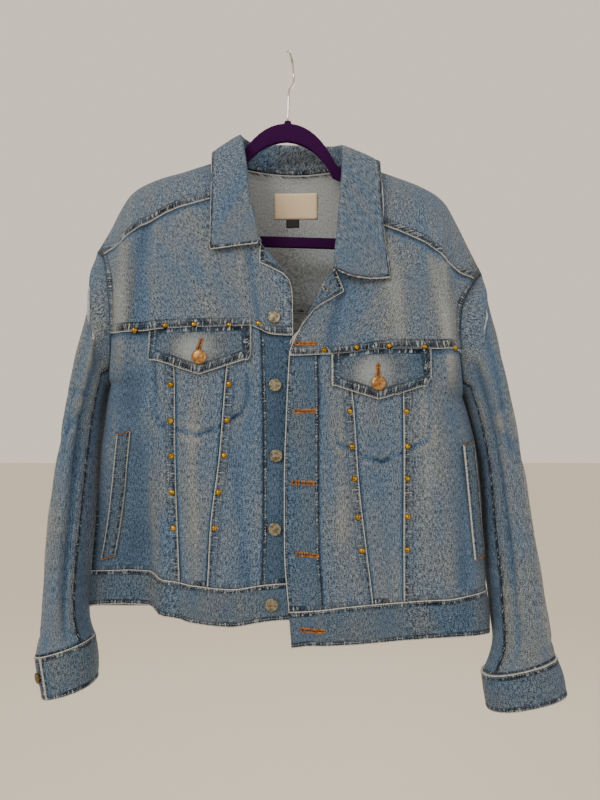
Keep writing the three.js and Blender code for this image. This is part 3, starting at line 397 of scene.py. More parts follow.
# Finer creases on the body, laid as soft troughs and ridges.
bodyCreases = [
    {"face": -1, "topX": -163, "topZ": -215, "lowX": -160, "lowZ": -352, "width": 6, "rise": 2.2},
    {"face": -1, "topX": -178, "topZ": -240, "lowX": -181, "lowZ": -368, "width": 6, "rise": -2.2},
    {"face": -1, "topX": -46, "topZ": -285, "lowX": -35, "lowZ": -366, "width": 4, "rise": -2.6},
    {"face": -1, "topX": -58, "topZ": -290, "lowX": -52, "lowZ": -345, "width": 6, "rise": 1.5},
    {"face": -1, "topX": 63, "topZ": -318, "lowX": 48, "lowZ": -392, "width": 7, "rise": -2.8},
    {"face": -1, "topX": 168, "topZ": -290, "lowX": 186, "lowZ": -396, "width": 6, "rise": 2.6},
    {"face": -1, "topX": -157, "topZ": -430, "lowX": -146, "lowZ": -478, "width": 4, "rise": -2.4},
    {"face": -1, "topX": -168, "topZ": -470, "lowX": -158, "lowZ": -650, "width": 7, "rise": 2},
    {"face": -1, "topX": -112, "topZ": -470, "lowX": -104, "lowZ": -655, "width": 8, "rise": 1.8},
    {"face": -1, "topX": -58, "topZ": -400, "lowX": -48, "lowZ": -440, "width": 4, "rise": -1.6},
    {"face": -1, "topX": -62, "topZ": -520, "lowX": -50, "lowZ": -655, "width": 8, "rise": -1.8},
    {"face": -1, "topX": 56, "topZ": -455, "lowX": 60, "lowZ": -610, "width": 7, "rise": 1.6},
    {"face": -1, "topX": 108, "topZ": -470, "lowX": 116, "lowZ": -670, "width": 8, "rise": -2},
    {"face": -1, "topX": 158, "topZ": -450, "lowX": 162, "lowZ": -640, "width": 8, "rise": 2},
    {"face": -1, "topX": 205, "topZ": -520, "lowX": 206, "lowZ": -670, "width": 9, "rise": -2.4},
    {"face": -1, "topX": 118, "topZ": -270, "lowX": 132, "lowZ": -385, "width": 9, "rise": 1.8},
    {"face": -1, "topX": -96, "topZ": -285, "lowX": -88, "lowZ": -362, "width": 8, "rise": 1.6},
    {"face": 1, "topX": -180, "topZ": -380, "lowX": -176, "lowZ": -655, "width": 9, "rise": -3},
    {"face": 1, "topX": -112, "topZ": -350, "lowX": -104, "lowZ": -600, "width": 9, "rise": 2.4},
    {"face": 1, "topX": -12, "topZ": -420, "lowX": -6, "lowZ": -690, "width": 8, "rise": 2.4},
    {"face": 1, "topX": 78, "topZ": -360, "lowX": 90, "lowZ": -640, "width": 10, "rise": -3},
    {"face": 1, "topX": 175, "topZ": -390, "lowX": 182, "lowZ": -660, "width": 9, "rise": 2.6},
    {"face": 1, "topX": -60, "topZ": -190, "lowX": -90, "lowZ": -315, "width": 9, "rise": 1.8},
    {"face": 1, "topX": 92, "topZ": -200, "lowX": 118, "lowZ": -330, "width": 10, "rise": -2},
]


def between(rows, key, at, column):  # a table read without overshooting its rows
    keys = np.array([row[key] for row in rows], float)
    values = np.array([row[column] for row in rows], float)
    slopes = np.diff(values) / np.diff(keys)
    tangents = np.concatenate([slopes[:1], np.zeros(len(keys) - 2), slopes[-1:]])
    product = slopes[:-1] * slopes[1:]
    total = slopes[:-1] + slopes[1:]
    tangents[1:-1] = np.where(product > 0, 2 * product / np.where(product > 0, total, 1), 0)
    row = np.clip(np.searchsorted(keys, at, side="left") - 1, 0, len(keys) - 2)
    span = keys[row + 1] - keys[row]
    t = np.clip((at - keys[row]) / span, 0, 1)
    bend = t * t * (3 - 2 * t)
    lean = t * (1 - t) * span
    level = values[row] + (values[row + 1] - values[row]) * bend
    return level + lean * ((1 - t) * tangents[row] - t * tangents[row + 1])


def lerp(a, b, t):
    return a + (b - a) * t


def smooth(start, stop, at):
    t = np.clip((at - start) / (stop - start), 0, 1)
    return t * t * (3 - 2 * t)


def bySide(x, reading):  # the right side's value where x is below 0, the left side's elsewhere
    return np.where(x < 0, reading("right"), reading("left"))


def onLine(points, share):  # by length
    points = np.array(points, float)
    run = np.concatenate([[0], np.cumsum(np.hypot(*np.diff(points, axis=0).T))])
    at = np.clip(share, 0, 1) * run[-1]
    return np.interp(at, run, points[:, 0]), np.interp(at, run, points[:, 1])


def atCorner(points, share):  # by corners
    points = np.array(points, float)
    corners = np.linspace(0, 1, len(points))
    return np.interp(share, corners, points[:, 0]), np.interp(share, corners, points[:, 1])


def edgeAt(x, z):
    return bySide(x, lambda side: between(bodyEdges, "z", z, side))


def rimDepth(x, z, face):
    def reading(side):
        hole = armholes[side]
        height = (hole["top"] - hole["bottom"]) / 2
        up = (z - (hole["top"] + hole["bottom"]) / 2) / height
        openness = np.sqrt(np.maximum(0, 1 - up * up))
        reach = hole["front"] if face < 0 else hole["back"]
        low = lerp(hole["middle"], 6, smooth(hole["bottom"], -640, z))
        seat = np.where(z < hole["bottom"], low, hole["middle"])
        return np.where(z > hole["top"], 0, seat) + face * (reach * openness + 0.15)
    return bySide(x, reading)


def riseOf(folds, x, z, face, fade):
    rise = np.zeros(np.broadcast(x, z).shape)
    for fold in folds:
        if fold["face"] != face:
            continue
        along = np.clip((z - fold["topZ"]) / (fold["lowZ"] - fold["topZ"]), 0, 1)
        middle = lerp(fold["topX"], fold["lowX"], along)
        reach = np.minimum(fold["topZ"] - z, z - fold["lowZ"]) / fade + 1
        rise = rise + fold["rise"] * smooth(0, 1, reach) * np.exp(-(((x - middle) / fold["width"]) ** 2))
    return rise


def foldRise(x, z, face, laps):
    rise = riseOf(bodyFolds, x, z, face, foldFade)
    if face < 0:
        back = smooth(hemRecess["fromX"], hemRecess["toX"], x) * smooth(hemRecess["fromZ"], hemRecess["toZ"], z)
        rise = rise - hemRecess["depth"] * back
        if laps:
            rise = rise + lapRise * smooth(lapWide["none"], lapWide["full"], x)
    return rise


def faceDepth(x, z, face, deep, laps):
    middle = between(bodyDepths, "z", z, "front" if face < 0 else "back")
    rim = rimDepth(x, z, face)
    below = np.clip((between(ridgeLine, "x", x, "z") - z) / ridgeRounding, 0, 1)
    full = deep * (1 - (1 - below) ** ridgeSquare) ** (1 / ridgeSquare)
    return rim + (middle - rim) * full + face * foldRise(x, z, face, laps) * np.minimum(1, 1.4 * full)


def bodyPoint(across, z, face, laps=False):
    edge = edgeAt(across, z)
    square = between(bodyDepths, "z", z, "square")
    turn = np.minimum(1, np.abs(across)) * math.pi / 2
    x = edge * np.sin(turn) ** (2 / square)
    deep = np.maximum(0, np.cos(turn)) ** (2 / square)
    return np.stack([x, faceDepth(x, z, face, deep, laps), z + 0 * x], -1)


def acrossAt(x, z):
    square = between(bodyDepths, "z", z, "square")
    part = np.clip(x / edgeAt(x, z), 0, 1) ** (square / 2)
    return np.sign(x) * np.arcsin(part) * 2 / math.pi


def shoulderPoint(x, over):
    z = between(ridgeLine, "x", x, "z") - over * over
    square = between(bodyDepths, "z", z, "square")
    deep = (1 - np.clip(x / edgeAt(x, z), 0, 1) ** square) ** (1 / square)
    depth = np.where(over < 0, faceDepth(x, z, -1, deep, False), faceDepth(x, z, 1, deep, False))
    return np.stack([x, np.where(over == 0, 0, depth), z], -1)


stripSeams = ["side", "outer", "inner", "placket", "edge"]
stripColumns = [5, 3, 3, 3]
inward = {"right": 1, "left": -1}


def seamX(side, name, z):
    if name == "side":
        return between(bodyEdges, "z", z, side)
    return between(frontSeams[side], "z", z, name)


def crossing(side, name, line):
    near = seamX(side, name, line[side][3]["z"])
    return seamX(side, name, between(line[side], "x", near, "z"))


def seamShare(side, name, z, reach=0):
    if name == "side":
        return np.full(np.shape(z), -float(inward[side]))
    return acrossAt(seamX(side, name, z) + reach, z)


def frontStrip(side, outer, inner):
    turn = inward[side]
    def at(u, v):
        lowX = lerp(crossing(side, outer, waistSeam), crossing(side, inner, waistSeam), u)
        highX = lerp(crossing(side, outer, chestSeam), crossing(side, inner, chestSeam), u)
        low = between(waistSeam[side], "x", lowX, "z") + 0.15
        high = between(chestSeam[side], "x", highX, "z") - 0.15
        z = lerp(low, high, v)
        start = seamShare(side, outer, z, 0.15 * turn)
        return bodyPoint(lerp(start, seamShare(side, inner, z, -0.15 * turn), u), z, -1, side == "left")
    return at


def columnPlace(side, u, line):  # where a share across the fronts meets a line, and its column
    place = np.asarray(u) * sum(stripColumns)
    ends = np.concatenate([[0], np.cumsum(stripColumns)])
    part = np.clip(np.searchsorted(ends, place, side="left") - 1, 0, 3)
    t = (place - ends[part]) / np.array(stripColumns)[part]
    meets = np.array([float(crossing(side, name, line)) for name in stripSeams])
    def share(z):
        shares = np.stack([seamShare(side, name, z) for name in stripSeams])
        start = np.take_along_axis(shares, part[None], 0)[0]
        return lerp(start, np.take_along_axis(shares, part[None] + 1, 0)[0], t)
    return lerp(meets[part], meets[part + 1], t), share


def frontYoke(side):
    def at(u, v):
        lowX, share = columnPlace(side, u, chestSeam)
        lowZ = between(chestSeam[side], "x", lowX, "z") + 0.15
        low = (share(lowZ), lowZ)
        highX, highZ = atCorner(shoulderSeam[side], u)
        highZ = highZ - 0.6
        high = (np.where(u == 0, -inward[side], acrossAt(highX, highZ)), highZ)
        lowZ0 = float(between(chestSeam[side], "x", crossing(side, "side", chestSeam), "z") + 0.15)
        highZ0 = shoulderSeam[side][0][1] - 0.6
        edgeX, edgeZ = onLine(neckEdge[side], v)
        lastX = float(crossing(side, "edge", chestSeam))
        lastZ = float(between(chestSeam[side], "x", lastX, "z") + 0.15)
        topX, topZ = shoulderSeam[side][-1][0], shoulderSeam[side][-1][1] - 0.6
        corners = [(-inward[side], lowZ0), (-inward[side], highZ0), (float(acrossAt(lastX, lastZ)), lastZ), (float(acrossAt(topX, topZ)), topZ)]
        end = (acrossAt(edgeX, edgeZ), edgeZ)
        place = []
        for n in (0, 1):
            start = np.full(np.shape(v), corners[0][0]) if n == 0 else lerp(lowZ0, highZ0, v)
            finish = np.where(v <= 0, corners[2][n], np.where(v >= 1, corners[3][n], end[n]))
            place.append(lerp(low[n], high[n], v) + lerp(start, finish, u)
                - lerp(lerp(corners[0][n], corners[2][n], u), lerp(corners[1][n], corners[3][n], u), v))
        return bodyPoint(place[0], place[1], -1, side == "left")
    return at


def frontBand(side):
    def at(u, v):
        x, share = columnPlace(side, u, waistSeam)
        low = between(hemLine[side], "x", x, "z")
        z = lerp(low, between(waistSeam[side], "x", x, "z") - 0.15, v)
        return bodyPoint(share(z), z, -1, side == "left")
    return at


def backHeight(line, across):
    return lerp(line["right"], line["left"], (across + 1) / 2)


def backSheet(low, high, under, over):
    def at(u, v):
        across = lerp(-1, 1, u)
        return bodyPoint(across, lerp(backHeight(low, across) + under, backHeight(high, across) - over, v), 1)
    return at


def rimPoint(side, turn):
    hole = armholes[side]
    z = lerp(hole["bottom"], hole["top"], (1 + np.cos(turn)) / 2)
    reach = np.where(turn < 0, hole["front"], hole["back"])
    y = hole["middle"] * (1 - np.cos(turn)) * 0.5 + reach * np.sin(turn)
    return np.stack([between(bodyEdges, "z", z, side), y, z], -1)


def rimTurn(side, z):
    hole = armholes[side]
    return math.acos(min(1, max(-1, 2 * (z - hole["bottom"]) / (hole["top"] - hole["bottom"]) - 1)))


def overAt(x, z, face):
    return face * np.sqrt(np.maximum(0, between(ridgeLine, "x", x, "z") - z))


neckRound = {
    "right": [[-66, -198.5, -1], [-72, -152, -1], [-73, -136.5, 1], [-58, -143, 1]],
    "left": [[73, -232, -1], [80, -165, -1], [81, -144.5, 1], [63, -148, 1]],
}


def backYoke(u, v):
    shoulderPart, neckPart = 7 / 26, 9 / 26
    share = np.minimum(u, 1 - u)
    def finish(side):
        x, z = atCorner(shoulderSeam[side], share / shoulderPart)
        over = overAt(x, z, -1)
        row = neckRound[side]
        t = (share - shoulderPart) / (neckPart - shoulderPart) * 3
        corners = np.arange(4)
        neckX = np.interp(t, corners, [r[0] for r in row])
        neckOver = np.interp(t, corners, [float(overAt(*r)) for r in row])
        return np.where(share <= shoulderPart, x, neckX), np.where(share <= shoulderPart, over, neckOver)
    right, left = finish("right"), finish("left")
    x = np.where(u < 0.5, right[0], left[0])
    over = np.where(u < 0.5, right[1], left[1])
    middleX = lerp(-58, 63, (u - neckPart) / (1 - 2 * neckPart))
    middleZ = lerp(-144, -147.5, (middleX + 60) / 120) - 2 * np.cos(middleX / 40)
    x = np.where(share > neckPart, middleX, x)
    over = np.where(share > neckPart, overAt(middleX, middleZ, 1), over)
    across = lerp(-1, 1, u)
    seamZ = backHeight(backYokeSeam, across) + 0.15
    seat = bodyPoint(across, seamZ, 1)
    body = shoulderPoint(lerp(seat[..., 0], x, v), lerp(overAt(seat[..., 0], seamZ, 1), over, v))
    body = np.where((v <= 0)[..., None], seat, body)
    for side, end in (("right", 0), ("left", 1)):
        start = rimTurn(side, backYokeSeam[side] + 0.15)
        stop = -rimTurn(side, shoulderSeam[side][0][1])
        body = np.where((u == end)[..., None], rimPoint(side, lerp(start, stop, v)), body)
    return body


def turnedCorner(side):
    corner = turnedCorners[side]
    def at(u, v):
        fromX, fromZ = onLine(corner["roll"], v)
        toX, toZ = onLine(corner["edge"], v)
        x, z = lerp(fromX, toX, u), lerp(fromZ, toZ, u)
        return bodyPoint(acrossAt(x, z), z, -1, side == "left")
    return at


def collarSection(u, v):
    s, t = np.clip(u, 0.002, 0.998), np.clip(v, 0.002, 0.998)
    def rail(name):
        rows = [{"s": row["s"], "x": row[name][0], "y": row[name][1], "z": row[name][2]} for row in collarRails]
        return np.stack([between(rows, "s", s, axis) for axis in "xyz"], -1)
    seam, fold, edge = rail("seam"), rail("fold"), rail("edge")
    stand = 0.3
    share = np.clip((t - stand) / (1 - stand), 0, 1)
    out = edge - seam
    out[..., 2] = 0
    out /= np.linalg.norm(out, axis=-1, keepdims=True)
    crown = 3 * np.sin(math.pi * share ** 0.6) * np.minimum(1, np.linalg.norm(fold - edge, axis=-1) / 60)
    fall = lerp(fold, edge, share[..., None]) + out * crown[..., None]
    return np.where((t <= stand)[..., None], lerp(seam, fold, (t / stand)[..., None]), fall)


def ringPoint(ring, degrees, dent, side):
    turn = np.radians(degrees)
    c, s = np.cos(turn), np.sin(turn)
    rounded = lambda value: np.sign(value) * np.abs(value) ** (2 / sleeveSquare)
    outer, inner = np.array(ring["outer"], float), np.array(ring["inner"], float)
    size = np.hypot(*(outer - inner)) / 2
    off = dent * np.exp(-(((degrees - sleeveCrease[side]) / sleeveCrease["halfWidth"]) ** 2))
    middle = (outer + inner) / 2
    arm = (outer - middle) * rounded(c)[..., None] * ((size - off) / size)[..., None]
    deep = (ring["back"] - ring["front"]) / 2
    y = (ring["back"] + ring["front"]) / 2 - (deep - off) * rounded(s)
    return np.stack([middle[0] + arm[..., 0], y, middle[1] + arm[..., 1]], -1)


def sleeveSurface(side, start, stop):
    rings = sleeveRings[side]
    hole = armholes[side]
    def at(u, v):
        degrees = lerp(start + 0.35, stop - 0.35, u)
        turn = -np.radians(degrees)
        rim = rimPoint(side, np.where(turn > -math.pi, turn, turn + 2 * math.pi))
        rim[..., 0] -= inward[side] * 0.6
        rows = [rim]
        for row, ring in enumerate(rings, 1):
            share = smooth(2, 6, row) * (1 - smooth(len(rings) - 3, len(rings), row))
            rows.append(ringPoint(ring, degrees, sleeveCrease["depth"] * share, side))
        rows = np.stack(rows)
        place = v * len(rings)
        low = np.clip(np.floor(place).astype(int), 0, len(rings) - 1)
        t = (place - low)[..., None]
        take = lambda row: np.take_along_axis(rows, np.clip(row, 0, len(rings))[None, ..., None], 0)[0]
        before, here, after, next = take(low - 1), take(low), take(low + 1), take(low + 2)
        return 0.5 * (2 * here + (after - before) * t + (2 * before - 5 * here + 4 * after - next) * t ** 2
            + (3 * here - before - 3 * after + next) * t ** 3)
    return at


def cuffSurface(side):
    size = cuffs[side]
    def at(u, v):
        degrees = lerp(size["slit"] + 1.2, size["slit"] + 358.8, u)
        ends = [ringPoint({**size[name], "front": size["front"], "back": size["back"]}, degrees, 0, side) for name in ("low", "top")]
        return lerp(ends[0], ends[1], v[..., None])
    return at


def flapSurface(side):
    flap = flaps[side]
    def at(u, v):
        x = lerp(flap["from"], flap["to"], u)
        high = between(chestSeam[side], "x", x, "z") - 0.3
        reach = np.abs(x - flap["pointX"]) / (abs(flap["to"] - flap["from"]) / 2)
        low = np.where(reach > 0.86, flap["corner"], lerp(flap["point"], flap["corner"], np.minimum(1, reach / 0.86)))
        rounded = flap["corner"] + 9 * smooth(0.94, 1.04, reach)
        z = lerp(np.where(reach > 0.94, np.maximum(low, rounded), low), high, v)
        return bodyPoint(acrossAt(x, z), z, -1, side == "left")
    return at


def weltSurface(side):
    welt = welts[side]
    def at(u, v):
        z = lerp(welt["lowZ"], welt["topZ"], v) + lerp(-2, 2, u)
        x = lerp(welt["lowX"], welt["topX"], v) + lerp(-welt["wide"] / 2, welt["wide"] / 2, u)
        return bodyPoint(acrossAt(x, z), z, -1)
    return at


# Finishes. Sizes of their patterns are in mm.
def linear(tone):  # an sRGB hex colour as the linear values that a socket takes
    parts = [int(tone[n:n + 2], 16) / 255 for n in (1, 3, 5)]
    return tuple([p / 12.92 if p <= 0.04045 else ((p + 0.055) / 1.055) ** 2.4 for p in parts] + [1])


def node(look, kind, settings, out=0):  # adds one node: a socket is linked, a value is set
    made = look.node_tree.nodes.new("ShaderNode" + kind)
    for key, value in settings.items():
        if isinstance(value, bpy.types.NodeSocket):
            look.node_tree.links.new(value, made.inputs[key])
        elif isinstance(key, str) and key[0].islower():
            setattr(made, key, value)
        else:
            made.inputs[key].default_value = linear(value) if isinstance(value, str) else value
    return made.outputs[out]


def finish(name, settings):  # a material with its surface, whose uniform numbers are set on it directly
    look = bpy.data.materials.new(name)
    look.use_nodes = True
    surface = look.node_tree.nodes["Principled BSDF"]
    for key, value in settings.items():
        surface.inputs[key].default_value = linear(value) if isinstance(value, str) else value
    return look, surface


def grain(look, across, up, detail=2.0, turn=0.0, seed=0.0):  # an uneven pattern in the weave's own mm
    spot = node(look, "UVMap", {"uv_map": "weave"})
    spot = node(look, "Mapping", {"Vector": spot, "Rotation": (0, 0, turn)})
    size = (1 / (across * mm), 1 / (up * mm), 1)
    spot = node(look, "Mapping", {"Vector": spot, "Location": (seed, seed, 0), "Scale": size})
    return node(look, "TexNoise", {"Vector": spot, "Scale": 1.0, "Detail": detail, "Roughness": 0.55})


def alongEdge(look, run, far, pitch, across):  # an uneven pattern in mm along an edge and away from it
    run = node(look, "Math", {"operation": "MULTIPLY", 0: run, 1: 1 / pitch})
    far = node(look, "Math", {"operation": "MULTIPLY", 0: far, 1: 1 / across})
    return node(look, "TexNoise", {"Vector": node(look, "CombineXYZ", {0: run, 1: far}), "Scale": 1.0, "Detail": 1.0})


def denimCloth(name, tones, twill, wear):
    # washed denim: a speckle of pale and blue threads in short upright slubs, greyer on the worn
    # ridges and bluer in the folds, painted navy shade under overlapping pieces and in deep hollows, navy and white
    # puckers in the seams, and frayed white free edges
    look, surface = finish(name, {"Roughness": 0.92, "Specular IOR Level": 0.12, "Sheen Weight": 0.08, "Sheen Roughness": 0.5})
    marks = ("seamNear", "seamRun", "edgeNear", "edgeRun", "tone")
    seam, seamRun, edge, edgeRun, tone = (node(look, "Attribute", {"attribute_name": mark}, "Fac") for mark in marks)
    slubs = grain(look, 1.2, 5.2)
    speckle = grain(look, 1.0, 1.1, 1.0, 0.4, 3.1)
    rib = grain(look, 1.1, 4.5, 1.0, math.radians(40), 7.7)
    bands = grain(look, 15, 130, 2.0, 0.04, 5.3)
    clouds = grain(look, 45, 80, 1.0, 0.3, 9.1)
    threads = node(look, "Mix", {0: 0.55, 2: slubs, 3: speckle})
    threads = node(look, "Mix", {0: twill, 2: threads, 3: rib})
    pale = node(look, "MapRange", {0: threads, 1: 0.41, 2: 0.6})
    weave = node(look, "Mix", {"data_type": "RGBA", 0: pale, 6: tones["deep"], 7: tones["pale"]}, 2)
    blue = node(look, "Mix", {"data_type": "RGBA", 0: pale, 6: tones["blueDeep"], 7: tones["bluePale"]}, 2)
    folded = node(look, "Math", {"operation": "MULTIPLY_ADD", 0: tone, 1: -0.5, 2: -0.2})
    folded = node(look, "Math", {"operation": "MULTIPLY_ADD", 0: bands, 1: 1.1, 2: folded})
    folded = node(look, "Math", {"operation": "MULTIPLY_ADD", 0: clouds, 1: 0.35, 2: folded})
    folded = node(look, "MapRange", {0: folded, 1: 0.05, 2: 0.9})
    cloth = node(look, "Mix", {"data_type": "RGBA", 0: folded, 6: weave, 7: blue}, 2)
    # painted shade: a low tone turns the cloth navy, for the shade under overlapping pieces and in deep hollows, along
    # with the darkest wash
    darkWashAndShade = node(look, "MapRange", {0: tone, 1: -0.5, 2: -2.8, 4: 0.85})
    rubbed = node(look, "MapRange", {0: tone, 1: 0.5, 2: 2.4, 4: 0.4})

    # bars of puckers right across each seam's strip, with a dark line where the strip ends
    bars = alongEdge(look, seamRun, seam, 2.1, 14)
    worn = alongEdge(look, seamRun, seam, 38, 60)
    worn = node(look, "MapRange", {0: worn, 1: 0.36, 2: 0.62, 3: 0.3, 4: 1.0})
    strip = node(look, "MapRange", {0: seam, 1: 10.2, 2: 8.8, 4: wear})
    strip = node(look, "Math", {"operation": "MULTIPLY", 0: strip, 1: worn})
    darkBars = node(look, "MapRange", {0: bars, 1: 0.58, 2: 0.44, 3: 0.4, 4: 1.0})
    paleBars = node(look, "MapRange", {0: bars, 1: 0.56, 2: 0.66, 4: 0.75})
    line = node(look, "Math", {"operation": "SUBTRACT", 0: seam, 1: 10.4})
    line = node(look, "Math", {"operation": "ABSOLUTE", 0: line})
    line = node(look, "MapRange", {0: line, 1: 1.5, 2: 0.3, 4: 0.8 * wear})
    line = node(look, "Math", {"operation": "MULTIPLY", 0: line, 1: worn})

    # free edges: a frayed white rim with a line of navy marks inside it
    dashes = alongEdge(look, edgeRun, edge, 1.9, 9)
    inner = node(look, "MapRange", {0: edge, 1: 1.2, 2: 1.8})
    inner = node(look, "Math", {"operation": "MULTIPLY", 0: inner, 1: node(look, "MapRange", {0: edge, 1: 5.5, 2: 3})})
    inner = node(look, "Math", {"operation": "MULTIPLY", 0: inner, 1: node(look, "MapRange", {0: dashes, 1: 0.56, 2: 0.42, 4: 0.9})})
    rim = node(look, "MapRange", {0: edge, 1: 1.25, 2: 0.5})
    rim = node(look, "Math", {"operation": "MULTIPLY", 0: rim, 1: node(look, "MapRange", {0: dashes, 1: 0.36, 2: 0.54, 3: 0.35, 4: 0.9})})

    layers = [(darkWashAndShade, "navy"), (rubbed, "worn")]
    layers += [(node(look, "Math", {"operation": "MULTIPLY", 0: strip, 1: darkBars}), "navy")]
    layers += [(node(look, "Math", {"operation": "MULTIPLY", 0: strip, 1: paleBars}), "worn")]
    layers += [(line, "navy"), (inner, "navy"), (rim, "edge")]
    for share, shade in layers:
        cloth = node(look, "Mix", {"data_type": "RGBA", 0: share, 6: cloth, 7: tones[shade]}, 2)
    look.node_tree.links.new(cloth, surface.inputs["Base Color"])
    relief = node(look, "Math", {"operation": "MULTIPLY", 0: bars, 1: strip})
    relief = node(look, "Math", {"operation": "MULTIPLY_ADD", 0: threads, 1: 0.3, 2: relief})
    bump = node(look, "Bump", {"Height": relief, "Distance": 1.0 * mm, "Strength": 0.9})
    look.node_tree.links.new(bump, surface.inputs["Normal"])
    return look


bodyTones = {
    "deep": "#1f2936", "pale": "#8f979d", "blueDeep": "#172d4a", "bluePale": "#69829e",
    "navy": "#0b1424", "worn": "#b0b8bc", "edge": "#c3c7c5",
}
darkTones = {**bodyTones, "deep": "#182230", "pale": "#7a8590", "blueDeep": "#132740", "bluePale": "#5b7590"}
innerTones = {**bodyTones, "deep": "#7d858f", "pale": "#c2c7ca", "blueDeep": "#7a8693", "bluePale": "#b8c1ca"}
collarTones = {**bodyTones, "deep": "#242c38", "pale": "#8b9398"}
denimLook = denimCloth("washed denim", bodyTones, 0.15, 0.95)
softLook = denimCloth("washed denim, gently worn seams", bodyTones, 0.15, 0.45)
bandLook = denimCloth("washed denim, darker bands", darkTones, 0.15, 0.95)
collarLook = denimCloth("washed denim on the bias", collarTones, 0.45, 0.9)
insideLook = denimCloth("unwashed side of the denim", innerTones, 0.1, 0.3)


def tonalLook(name, low, high, size, settings):  # an uneven colour in patches of a size in mm
    look, surface = finish(name, settings)
    spot = node(look, "TexCoord", {}, "Object")
    patches = node(look, "TexNoise", {"Vector": spot, "Scale": 1 / (size * mm), "Detail": 2.0})
    share = node(look, "MapRange", {0: patches, 1: 0.35, 2: 0.65})
    tone = node(look, "Mix", {"data_type": "RGBA", 0: share, 6: low, 7: high}, 2)
    look.node_tree.links.new(tone, surface.inputs["Base Color"])
    return look


# tonal sewing thread, faded unevenly
threadLook = tonalLook("faded sewing thread", "#3f4751", "#a2a8aa", 7, {"Roughness": 0.75, "Specular IOR Level": 0.2})
# orange-brown buttonhole twist, the warmest note on the jacket
twistLook = tonalLook("orange buttonhole twist", "#6b421f", "#b07a3f", 3, {"Roughness": 0.7, "Specular IOR Level": 0.25})
# painted shade: a dark bar standing for the shadowed slit inside a buttonhole
slitLook = finish("shadowed slit", {"Base Color": "#23262d", "Roughness": 1.0, "Specular IOR Level": 0.0})[0]
# warm brass studs, in uneven patches of bright and tarnished brass
brassLook = tonalLook("aged brass", "#6f5216", "#caa03f", 2.5, {"Metallic": 1.0, "Roughness": 0.3})
# coppery gold shank buttons on the flaps, softly brushed
copperLook = tonalLook("coppery brass", "#86603a", "#b98f5c", 3, {"Metallic": 1.0, "Roughness": 0.38})
# grey antique buttons down the front, dull and slightly warm
nickelLook = tonalLook("antique nickel", "#5f5b4d", "#96917f", 3, {"Metallic": 1.0, "Roughness": 0.42})
# the cuffs' buttons, dark aged brass
dullLook = tonalLook("dark aged brass", "#4d3f24", "#7d6a40", 3, {"Metallic": 1.0, "Roughness": 0.45})
# cream woven cotton of the neck label
labelLook = tonalLook("cream woven cotton", "#e6d3b4", "#f2e2c6", 1.2, {"Roughness": 0.85, "Specular IOR Level": 0.15})
# the black satin tab below it
tabLook = finish("black woven tab", {"Base Color": "#17161c", "Roughness": 0.6})[0]
# deep purple flock, which lights up a little at grazing angles
velvetLook = tonalLook("purple velvet", "#250831", "#3a1146", 1.0, {"Roughness": 1.0, "Specular IOR Level": 0.05,
    "Sheen Weight": 0.4, "Sheen Roughness": 0.35, "Sheen Tint": "#8d5aa6"})
# bright plated wire of the hook
steelLook = finish("plated steel wire", {"Base Color": "#c9c8c6", "Metallic": 1.0, "Roughness": 0.16})[0]
print("finishes made")


# Sewing a piece: a grid laid on its surface, with its relief, seams, wear and painted shade kept as attributes.
sheets = {}


def stops(length, step, ends=(), finish=()):  # even shares, with closer ones near either end
    marks = [d / length for d in ends] + [1 - d / length for d in finish]
    even = np.linspace(0, 1, max(2, round(length / step)) + 1)
    near = 0.35 * step / length
    kept = [s for s in even if s in (0, 1) or all(abs(s - m) > near for m in marks)]
    return np.array(sorted(set(kept + [m for m in marks if 0 < m < 1])))


def ripple(run, seed):  # an uneven wave along a seam, about -1 to 1
    return (np.sin(run * 0.93 + seed) + 0.8 * np.sin(run * 0.61 + 2.1 * seed + 1.3 * np.sin(run * 0.17))
        + 0.6 * np.sin(run * 1.37 + 3.7 * seed)) / 2.4


def sway(place, seed):  # soft waves through the cloth in mm, for a mesh that is never quite even
    x, y, z = place[..., 0], place[..., 1], place[..., 2]
    return (np.sin(x / 31 + z / 87 + seed) * np.sin(z / 53 - x / 90 + 2 * seed)
        + 0.6 * np.sin(x / 17 - z / 41 + y / 30 + 3 * seed) * np.sin(z / 29 + 1.7 * seed)
        + 0.35 * np.sin(x / 9 + z / 23 + 5 * seed) * np.sin(z / 13 - x / 21 + seed))


edgeNames = ["start", "end", "low", "high"]


def toEdges(place):  # along and across each row and column in mm, and the distances to the four edges
    runU = np.concatenate([np.zeros((place.shape[0], 1)), np.cumsum(np.linalg.norm(np.diff(place, axis=1), axis=-1), 1)], 1)
    runV = np.concatenate([np.zeros((1, place.shape[1])), np.cumsum(np.linalg.norm(np.diff(place, axis=0), axis=-1), 0)], 0)
    far = {"start": runU, "end": runU[:, -1:] - runU, "low": runV, "high": runV[-1:] - runV}
    along = {"start": runV, "end": runV, "low": runU, "high": runU}
    return far, along, runU, runV


def normalsOf(place, core):
    alongU = np.gradient(place, axis=1)
    alongV = np.gradient(place, axis=0)
    normal = np.cross(alongU, alongV)
    normal /= np.maximum(np.linalg.norm(normal, axis=-1, keepdims=True), 1e-9)
    sign = 1 if np.sum(normal * (place - core(place))) > 0 else -1
    return normal * sign, sign


def trunk(place):  # the middle of the body behind a point
    return place * np.array([0.8, 0, 1])


def bore(place):  # the middle of a sleeve's ring
    return place.mean(axis=1, keepdims=True) + 0 * place


